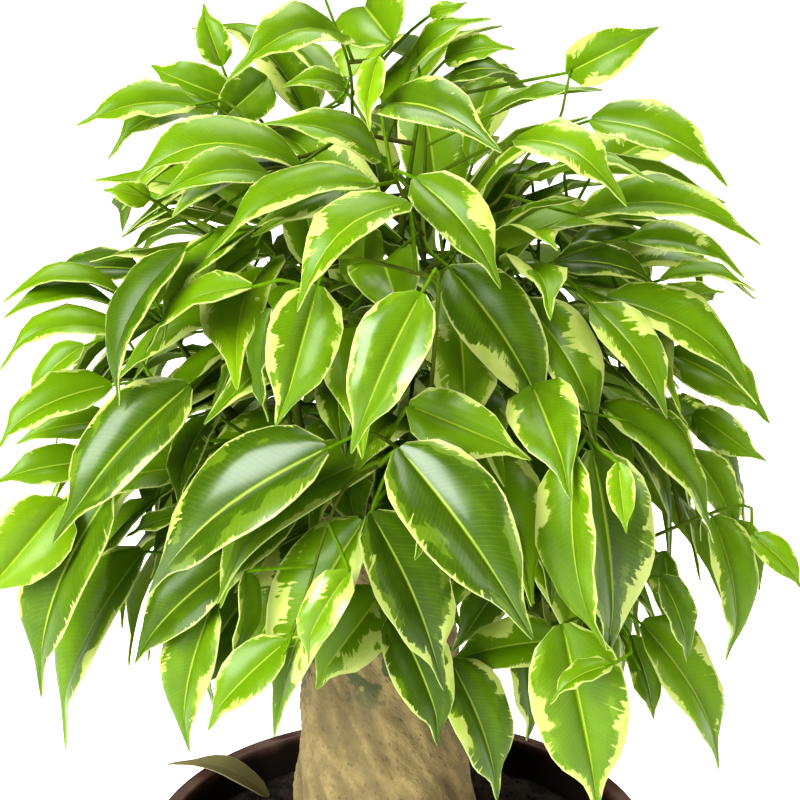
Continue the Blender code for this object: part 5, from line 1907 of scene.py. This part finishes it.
@dataclass
class Foliage:
    """All leafy branches: limbs, twigs, leaf stalks, blades and buds."""

    palette: Palette
    big_blade: float = 0.040
    big_along: int = 16
    big_across: tuple = (1.0, 0.74, 0.42, 0.10)
    patched: float = 0.45
    margins: tuple = (0.08, 0.34)
    twig_root: tuple = ((0.00062, 0.1), (0.00052, 0.6))
    stalk_root: tuple = ((0.00058, 0.6),)
    stalk_end: tuple = ((0.00046, 1.0), (0.00036, 1.0))
    bud_length: float = 0.009
    bud_shape: tuple = (
        (-0.1, 0.9), (0.0, 1.0), (0.25, 1.05), (0.6, 0.7), (0.85, 0.35), (1.0, 0.06))
    tones: tuple = (0.18, 0.25, 0.32, 0.40, 0.47, 0.54, 0.62, 0.72)

    def build(self) -> None:
        """Plan the crown and build a piece for each leafy branch."""
        crown = InnerCrown()
        crown.plan()
        crown.add_inner()
        LOG.info("crown: %d leaves", len(crown.leaves))
        for index in range(len(LIMBS)):
            made = Gather()
            twigs = [twig for twig in crown.twigs if twig.branch == index]
            for place, twig in enumerate(twigs):
                self.add_stem(made, twig, 10 if place == 0 else 8)
            for number, leaf in enumerate(crown.leaves):
                if leaf.branch == index:
                    self.add_leaf(made, leaf, random.Random(1000 + number))
            node = f"leafy_branch_{index + 1:02d}"
            piece = place_object(f"foliage_{index + 1:02d}", made.mesh(node), self.palette.leaf,
                                 self.palette.twig)
            ride(piece, Finish.LEAF, node)

    def add_stem(self, made: Gather, twig: Twig, sides: int) -> None:
        """Add a limb or stem, with a bud at its end.

        Args:
            made: Mesh to add to.
            twig: The stem.
            sides: Number of flats.
        """
        count = len(twig.points) - 1
        slim, taper = (0.78, 0.34) if sides > 8 else (0.44, 0.14)
        values = [(radius * (slim - taper * step / count), 0.6 * (step / count) ** 2)
                  for step, radius in enumerate(twig.radii)]
        points, values = rounded(list(twig.points), values)
        made.tube(points, *zip(*values), sides)
        self.add_bud(made, points[-1], (points[-1] - points[-2]).normalized(), values[-1][0])

    def add_bud(self, made: Gather, start: Vector, ahead: Vector, radius: float) -> None:
        """Add a slim pointed bud at the end of a stem of this radius."""
        points = [start + ahead * (self.bud_length * s) for s, _ in self.bud_shape]
        made.tube(points, [radius * share for _, share in self.bud_shape], [0.9] * len(points), 6)

    def add_leaf(self, made: Gather, leaf: Leaf, draw: random.Random) -> None:
        """Add a blade with its stalk and twig.

        Args:
            made: Mesh to add to.
            leaf: The leaf.
            draw: Source of random numbers for this leaf.
        """
        ahead = (blade_frame(leaf, BLADE_START)[0] - leaf.base).normalized()
        points = leaf.stalk + [leaf.base, leaf.base + ahead * 0.002]
        root = self.twig_root if len(leaf.stalk) > 1 else self.stalk_root
        points, values = rounded(points, [*root, *self.stalk_end])
        made.tube(points, *zip(*values), 6)
        form = BladeForm(**{name: draw.uniform(*ends) for name, ends in FORM_RANGES.items()})
        if (leaf.tip - leaf.base).length > self.big_blade and leaf.row >= 0:
            form.along, form.across = self.big_along, self.big_across
        made.blade(leaf, self.look_of(leaf, draw), form, draw.uniform(0.0, 60.0))

    def look_of(self, leaf: Leaf, draw: random.Random) -> Look:
        """Colouring of a leaf.

        Args:
            leaf: The leaf.
            draw: Source of random numbers for this leaf.

        Returns:
            The colouring.
        """
        if leaf.row >= 0:
            return SEEN_LEAVES[leaf.row].look
        tone = draw.choice(self.tones)
        patched = draw.random() < self.patched
        return Look(
            tone, draw.uniform(*self.margins), draw.uniform(*self.margins), draw.uniform(0.2, 0.8),
            draw.uniform(0.2, 0.9) if patched else 0.0, draw.uniform(0.0, 0.7) if patched else 0.0,
            draw.uniform(0.1, 0.6))


@dataclass
class FallenLeaf:
    """The dry leaf on the soil and over the rim."""

    palette: Palette

    def build(self) -> None:
        """Build the leaf and let it stand for its node."""
        made = Gather()
        form = BladeForm(along=14, across=(1.0, 0.7, 0.35), wave=0.0003, waves=2.0, curl=0.0,
                         bulge=0.0, thick=0.0006)
        made.blade(fallen_leaf(), Look(0.5, 0.05, 0.05, grey_sheen=0.2), form, 3.0)
        piece = place_object("dry_leaf", made.mesh("dry_leaf"), self.palette.dry)
        ride(piece, Finish.DRY, "fallen_leaf")


@dataclass
class Trunk:
    """Stout ribbed trunk with the stubs of its limbs."""

    palette: Palette
    rib_start: float = SOIL_LEVEL + SOIL_MOUND + 0.002
    rib_run: float = 0.012
    sides: int = 132
    rows: int = 110
    grain: float = 0.0009
    cords: float = 0.0010
    twist_from: float = 0.13
    lean: float = 20.0
    # Even painted shade on the foot below the ribs
    foot_shade: float = 0.3
    top: tuple = ((0.86, 0.0016), (0.6, 0.0022), (0.3, 0.0028))
    stub_shares: tuple = (0.25, 0.62, 0.74, 0.84, 0.92, 1.0)
    stub_flares: tuple = (1.9, 1.75, 1.4, 1.15, 1.04, 1.0)

    def rib(self, turn: float, z: float) -> float:
        """Share by which twisted ribs and hollows move the surface.

        Args:
            turn: Angle round the axis.
            z: Height.

        Returns:
            The share.
        """
        twist = turn + 6.0 * (z - self.twist_from)
        return (
            0.034 * math.sin(5.0 * twist + 0.8)
            + 0.022 * math.sin(9.0 * twist - 26.0 * z)
            + 0.016 * math.sin(3.0 * turn - 48.0 * z + 1.0)
        )

    def surface(self, turn: float, z: float) -> tuple[float, float]:
        """Radius, and painted shade in the hollows, at a place.

        Args:
            turn: Angle round the axis.
            z: Height.

        Returns:
            Radius in metres and painted hollow shade from 0 to 1.
        """
        blend = smooth(self.rib_start, self.rib_start + self.rib_run, z)
        rib = self.rib(turn, z)
        twist = turn + self.lean * (z - self.twist_from)
        spot = Vector((math.cos(twist) * 3.2, math.sin(twist) * 3.2, z * 26.0))
        rough = noise.fractal(spot, 0.8, 2.1, 4)
        cord = 0.5 - 2.4 * abs(noise.noise(spot * 1.5))
        relief = self.grain * rough + self.cords * cord
        radius = trunk_radius(z) * (1.0 + rib * blend) + relief * blend
        if z <= self.rib_start:
            return radius, self.foot_shade
        return radius, smooth(0.35, -0.55, cord + 6.0 * rib + 0.4 * rough)

    def build(self) -> None:
        """Build the trunk and let it stand for its node."""
        shape = bmesh.new()
        hollow_shade = shape.verts.layers.float.new("hollow_shade")
        turns = [2.0 * math.pi * step / self.sides for step in range(self.sides)]
        rings = []
        for row in range(self.rows + 1):
            z = self.rib_start + (TRUNK_TOP - self.rib_start) * row / self.rows
            ring = []
            for turn in turns:
                radius, depth = self.surface(turn, z)
                ring.append(self.point(shape, turn, radius, z))
                ring[-1][hollow_shade] = depth
            rings.append(ring)
        for share, lift in self.top:
            rings.append([shape.verts.new((
                TRUNK_X + (vertex.co.x - TRUNK_X) * share, vertex.co.y * share, TRUNK_TOP + lift))
                for vertex in rings[self.rows]])
        for z in (self.rib_start - 0.001, TRUNK_FOOT):
            rings.insert(0, [self.point(shape, turn, TRUNK_FOOT_RADIUS, z) for turn in turns])
        body = place_object("trunk_body", ringed_mesh(shape, rings, False, "trunk"))
        joined = joined_mesh(body, self.stubs(), Join.ADD, "trunk")
        crease(joined, 60)
        ride(place_object("bark_trunk", joined, self.palette.bark), Finish.BARK, "trunk")

    def point(self, shape: bmesh.types.BMesh, turn: float, radius: float,
              z: float) -> bmesh.types.BMVert:
        """Add a vertex at an angle and radius round the axis."""
        return shape.verts.new((TRUNK_X + radius * math.cos(turn), radius * math.sin(turn), z))

    def stubs(self) -> bpy.types.Object:
        """Flared stubs under the limbs, as one object.

        Returns:
            The object.
        """
        made = Gather()
        for limb in LIMBS:
            inner, outer, _ = stub_ends(limb)
            points = [inner + (outer - inner) * share for share in self.stub_shares]
            radii = [STUB_RADIUS * flare for flare in self.stub_flares]
            made.tube(points, radii, [0.0] * len(points), 20)
        return made.tool("stubs")


@dataclass
class Pot:
    """Plain tapered pot with a rim band and drainage holes."""

    palette: Palette
    rim_radius: float = 0.081
    foot_radius: float = 0.056
    wall: float = 0.003
    floor: float = 0.004
    rim_height: float = 0.012
    rim_proud: float = 0.0025
    rim_round: float = 0.0012
    foot_round: float = 0.003
    drain_count: int = 5
    drain_radius: float = 0.0045
    drain_ring: float = 0.036
    steps: int = 144

    def outer(self, z: float) -> float:
        """Outer radius of the wall at a height."""
        spread = self.rim_radius - self.rim_proud - self.foot_radius
        return self.foot_radius + spread * z / POT_HEIGHT

    def inner(self, z: float) -> float:
        """Inner radius of the wall at a height."""
        return self.outer(z) - self.wall

    def arc(self, centre: tuple, radius: float, start: float, end: float) -> list[tuple]:
        """Points along an arc by angles in degrees.

        Args:
            centre: Its centre in the upright section.
            radius: Its radius.
            start: First angle.
            end: Last angle.

        Returns:
            The points.
        """
        turns = [math.radians(start + (end - start) * step / 5) for step in range(6)]
        return [(centre[0] + radius * math.cos(turn), centre[1] + radius * math.sin(turn))
                for turn in turns]

    def profile(self) -> list[tuple]:
        """Section of the pot from the middle of its floor round to the middle of its foot.

        Returns:
            The points.
        """
        low = POT_HEIGHT - self.rim_height
        top = POT_HEIGHT - self.rim_round
        edge = self.rim_round
        foot = self.foot_round
        line = [(share * self.inner(self.floor), self.floor) for share in (0.0, 0.5, 1.0)]
        line += self.arc((self.inner(top) + edge, top), edge, 180, 90)
        line += self.arc((self.rim_radius - edge, top), edge, 90, 0)
        line += self.arc((self.rim_radius - 0.0005, low + 0.0005), 0.0005, 0, -90)
        line += [(self.outer(low) + 0.0004, low), (self.outer(low), low - 0.0006)]
        line += self.arc((self.outer(foot) - foot, foot), foot, 0, -90)
        return line + [(0.0, 0.0)]

    def build(self) -> None:
        """Build the pot and let it stand for its node."""
        line = self.profile()
        mesh = bpy.data.meshes.new("pot_section")
        edges = [(k, k + 1) for k in range(len(line) - 1)]
        mesh.from_pydata([(x, 0.0, z) for x, z in line], edges, [])
        body = place_object("pot_body", mesh)
        screw = body.modifiers.new("Turn", "SCREW")
        screw.steps = self.steps
        screw.render_steps = self.steps
        screw.use_merge_vertices = True
        screw.merge_threshold = 0.00001
        joined = joined_mesh(body, self.drains(), Join.CUT, "pot")
        crease(joined, 40)
        ride(place_object("plastic_pot", joined, self.palette.pot), Finish.POT, "pot")

    def drains(self) -> bpy.types.Object:
        """Cutter for the drainage holes.

        Returns:
            The cutter.
        """
        made = Gather()
        for index in range(self.drain_count):
            turn = 2.0 * math.pi * (index + 0.5) / self.drain_count
            x, y = self.drain_ring * math.cos(turn), self.drain_ring * math.sin(turn)
            ends = [Vector((x, y, -self.floor)), Vector((x, y, 2.0 * self.floor))]
            made.tube(ends, [self.drain_radius] * 2, [0.0] * 2, 32)
        return made.tool("drains")


@dataclass
class Soil:
    """Crumbly soil with a plain hole for the trunk, and loose crumbs on it."""

    palette: Palette
    pot: Pot
    hole: float = TRUNK_FOOT_RADIUS + 2.0 * GAP
    hole_foot: float = TRUNK_FOOT - GAP
    lump: float = 0.0011
    rings: int = 44
    steps: int = 160
    crumbs: float = 60000.0
    crumb_size: float = 0.0011
    crumb_seed: int = 5

    def height(self, x: float, y: float) -> float:
        """Height of the surface at a place.

        Args:
            x: First coordinate.
            y: Second coordinate.

        Returns:
            The height.
        """
        share = min(math.hypot(x, y) / self.pot.inner(SOIL_LEVEL), 1.0)
        lump = self.lump * (
            math.sin(310 * x + 1.3) * math.sin(270 * y + 0.4)
            + 0.7 * math.sin(520 * x - 190 * y)
            + 0.6 * math.sin(230 * x + 610 * y + 2.0)
        )
        near = smooth(self.hole, self.hole + 0.012, math.hypot(x - TRUNK_X, y))
        inside_wall = 1.0 - smooth(0.070, 0.073, math.hypot(x, y))
        crumb = 0.00045 * noise.fractal(Vector((x, y, 0.0)) * 420.0, 0.8, 2.2, 3)
        return SOIL_LEVEL + SOIL_MOUND * (1.0 - share * share) + (lump * near + crumb) * inside_wall

    def build(self) -> None:
        """Build the soil with its crumbs and let it stand for its node."""
        shape = bmesh.new()
        edge = self.pot.inner(SOIL_LEVEL) - GAP
        floor = self.pot.floor + GAP
        rings = [self.ring(shape, 0.0, edge, self.hole_foot)]
        rings += [self.ring(shape, (step / self.rings) ** 0.9, edge, None)
                  for step in range(self.rings + 1)]
        rings.append(self.ring(shape, 1.0, self.pot.inner(floor) - GAP, floor))
        mesh = ringed_mesh(shape, rings, True, "soil")
        crease(mesh, 60)
        ride(place_object("potting_soil", mesh, self.palette.soil), Finish.SOIL, "soil")
        self.build_crumbs(mesh)

    def ring(self, shape: bmesh.types.BMesh, share: float, edge: float, z: float | None) -> list:
        """Ring of vertices between the trunk's hole and the wall.

        Args:
            shape: Mesh to add to.
            share: 0 at the hole, 1 at the wall.
            edge: Radius at the wall.
            z: Height, or None for the surface.

        Returns:
            The vertices.
        """
        ring = []
        for step in range(self.steps):
            turn = 2.0 * math.pi * step / self.steps
            radius = self.hole + (edge - self.hole) * share
            x = TRUNK_X * (1.0 - share) + radius * math.cos(turn)
            y = radius * math.sin(turn)
            ring.append(shape.verts.new((x, y, self.height(x, y) if z is None else z)))
        return ring

    def build_crumbs(self, surface: bpy.types.Mesh) -> None:
        """Scatter crumbs over the soil's surface with geometry nodes.

        Args:
            surface: Mesh of the soil.
        """
        source = place_object("crumb_source", surface.copy())
        spread = source.modifiers.new("Crumbs", "NODES")
        tree, names = self.crumb_tree()
        spread.node_group = tree
        given = {"Density": self.crumbs, "Size": self.crumb_size, "Lowest": SOIL_LEVEL - 0.004,
                 "Seed": self.crumb_seed}
        for label, value in given.items():
            spread[names[label]] = value
        mesh = plain_mesh(source, "crumbs")
        mesh.shade_smooth()
        ride(place_object("soil_crumbs", mesh, self.palette.soil), Finish.SOIL)

    def crumb_tree(self) -> tuple[bpy.types.NodeTree, dict]:
        """Tree that scatters small lumps over upward faces.

        Returns:
            The tree and the identifier of each named input.
        """
        tree = bpy.data.node_groups.new("Crumbs", "GeometryNodeTree")
        face = tree.interface
        face.new_socket(name="Surface", in_out="INPUT", socket_type="NodeSocketGeometry")
        kinds = {"Density": "Float", "Size": "Float", "Lowest": "Float", "Seed": "Int"}
        names = {label: face.new_socket(name=label, in_out="INPUT",
                                        socket_type="NodeSocket" + kind).identifier
                 for label, kind in kinds.items()}
        face.new_socket(name="Crumbs", in_out="OUTPUT", socket_type="NodeSocketGeometry")
        g = Graph(tree)
        given = g.put("NodeGroupInput").outputs
        normal = g.split(g.put("GeometryNodeInputNormal").outputs[0])[2]
        height = g.split(g.put("GeometryNodeInputPosition").outputs[0])[2]
        high = g.math("GREATER_THAN", height, given["Lowest"])
        points = g.put("GeometryNodeDistributePointsOnFaces")
        g.fill(points.inputs, {
            "Mesh": given["Surface"], "Selection": g.math("GREATER_THAN", normal, 0.35) * high,
            "Density": given["Density"], "Seed": given["Seed"]})
        ball = g.put("GeometryNodeMeshIcoSphere")
        g.fill(ball.inputs, {"Radius": given["Size"], "Subdivisions": 1})
        turn = g.put("FunctionNodeRandomValue", data_type="FLOAT_VECTOR")
        g.feed(turn.inputs["Max"], (6.28, 6.28, 6.28))
        size = g.put("FunctionNodeRandomValue", data_type="FLOAT_VECTOR")
        g.fill(size.inputs, {"Min": (0.35, 0.35, 0.25), "Max": (1.25, 0.95, 0.7)})
        lumps = g.put("GeometryNodeInstanceOnPoints")
        g.fill(lumps.inputs, {
            "Points": points.outputs["Points"], "Instance": ball.outputs["Mesh"],
            "Rotation": turn.outputs["Value"], "Scale": size.outputs["Value"]})
        real = g.put("GeometryNodeRealizeInstances", lumps.outputs[0])
        dressed = g.put("GeometryNodeSetMaterial", real.outputs[0])
        g.feed(dressed.inputs["Material"], self.palette.soil)
        g.feed(g.put("NodeGroupOutput").inputs[0], dressed.outputs[0])
        return tree, names


@dataclass
class Studio:
    """Pale floor, soft light and the camera."""

    floor_size: float = 30.0
    sky: float = 0.38
    bounce: float = 0.38
    sheen: float = 0.10
    key_power: float = 66.0
    top_power: float = 50.0
    fill_power: float = 10.0
    lens: float = 72.0
    sensor: float = 36.0

    def build(self) -> None:
        """Build the floor, the lights and the camera."""
        self.floor()
        self.light("key", Vector((-0.95, -1.15, 1.0)), 1.1, self.key_power, (0.93, 0.97, 1.0))
        self.light("top", Vector((0.2, 0.5, 1.95)), 1.5, self.top_power, (1.0, 1.0, 0.98))
        self.light("fill", Vector((1.5, -0.6, 0.9)), 1.0, self.fill_power, (1.0, 0.99, 0.96))
        world = bpy.data.worlds.new("soft_sky")
        world.use_nodes = True
        back = world.node_tree.nodes["Background"]
        back.inputs[0].default_value = (0.97, 0.985, 1.0, 1.0)
        g = Graph(world.node_tree)
        path = g.put("ShaderNodeLightPath").outputs
        dim = g.grade(path["Is Glossy Ray"], 0.0, 1.0, self.sky, self.sky * self.sheen)
        g.feed(back.inputs[1], g.math("MAXIMUM", dim, g.value(path["Is Camera Ray"]) * 1.1))
        data = bpy.data.cameras.new("camera")
        data.lens = self.lens
        data.sensor_width = self.sensor
        camera = add_object("camera", data)
        camera.location = EYE
        camera.rotation_euler = (0.5 * math.pi - EYE_PITCH, 0.0, 0.0)
        scene = bpy.context.scene
        scene.world = world
        scene.camera = camera
        scene.view_settings.view_transform = "Standard"
        scene.view_settings.look = "Medium High Contrast"

    def floor(self) -> None:
        """Build the floor."""
        mesh = bpy.data.meshes.new("floor")
        half = 0.5 * self.floor_size
        corners = [(-half, -half, 0), (half, -half, 0), (half, half, 0), (-half, half, 0)]
        mesh.from_pydata(corners, [], [(0, 1, 2, 3)])
        finish = bpy.data.materials.new("floor")
        finish.use_nodes = True
        shader = finish.node_tree.nodes["Principled BSDF"]
        g = Graph(finish.node_tree)
        where = g.where()
        tint = g.mix(g.noise(where, 3.0), (0.90, 0.90, 0.90), (0.93, 0.93, 0.93))
        g.feed(shader.inputs["Base Color"], tint)
        shader.inputs["Roughness"].default_value = 0.9
        shader.inputs["Emission Color"].default_value = (1.0, 1.0, 1.0, 1.0)
        path = g.put("ShaderNodeLightPath").outputs
        dim = g.grade(path["Is Glossy Ray"], 0.0, 1.0, self.bounce, self.bounce * self.sheen)
        g.feed(shader.inputs["Emission Strength"], g.math("MAXIMUM", dim, path["Is Camera Ray"]))
        place_object("floor", mesh, finish)

    def light(self, name: str, place: Vector, size: float, power: float, colour: tuple) -> None:
        """Add a soft light that points at the crown.

        Args:
            name: Its name.
            place: Where it hangs.
            size: Side of its square.
            power: Power in watts.
            colour: Its colour.
        """
        data = bpy.data.lights.new(name, "AREA")
        data.size = size
        data.energy = power
        data.color = colour
        lamp = add_object(name, data)
        lamp.location = place
        lamp.rotation_mode = "QUATERNION"
        lamp.rotation_quaternion = (CROWN_CENTRE - place).to_track_quat("-Z", "Y")


def main() -> None:
    """Build every piece in order."""
    logging.basicConfig(level=logging.INFO, format="%(message)s")
    palette = Palette()
    pot = Pot(palette)
    pot.build()
    Soil(palette, pot).build()
    Trunk(palette).build()
    FallenLeaf(palette).build()
    Foliage(palette).build()
    Studio().build()


if __name__ == "__main__":
    main()
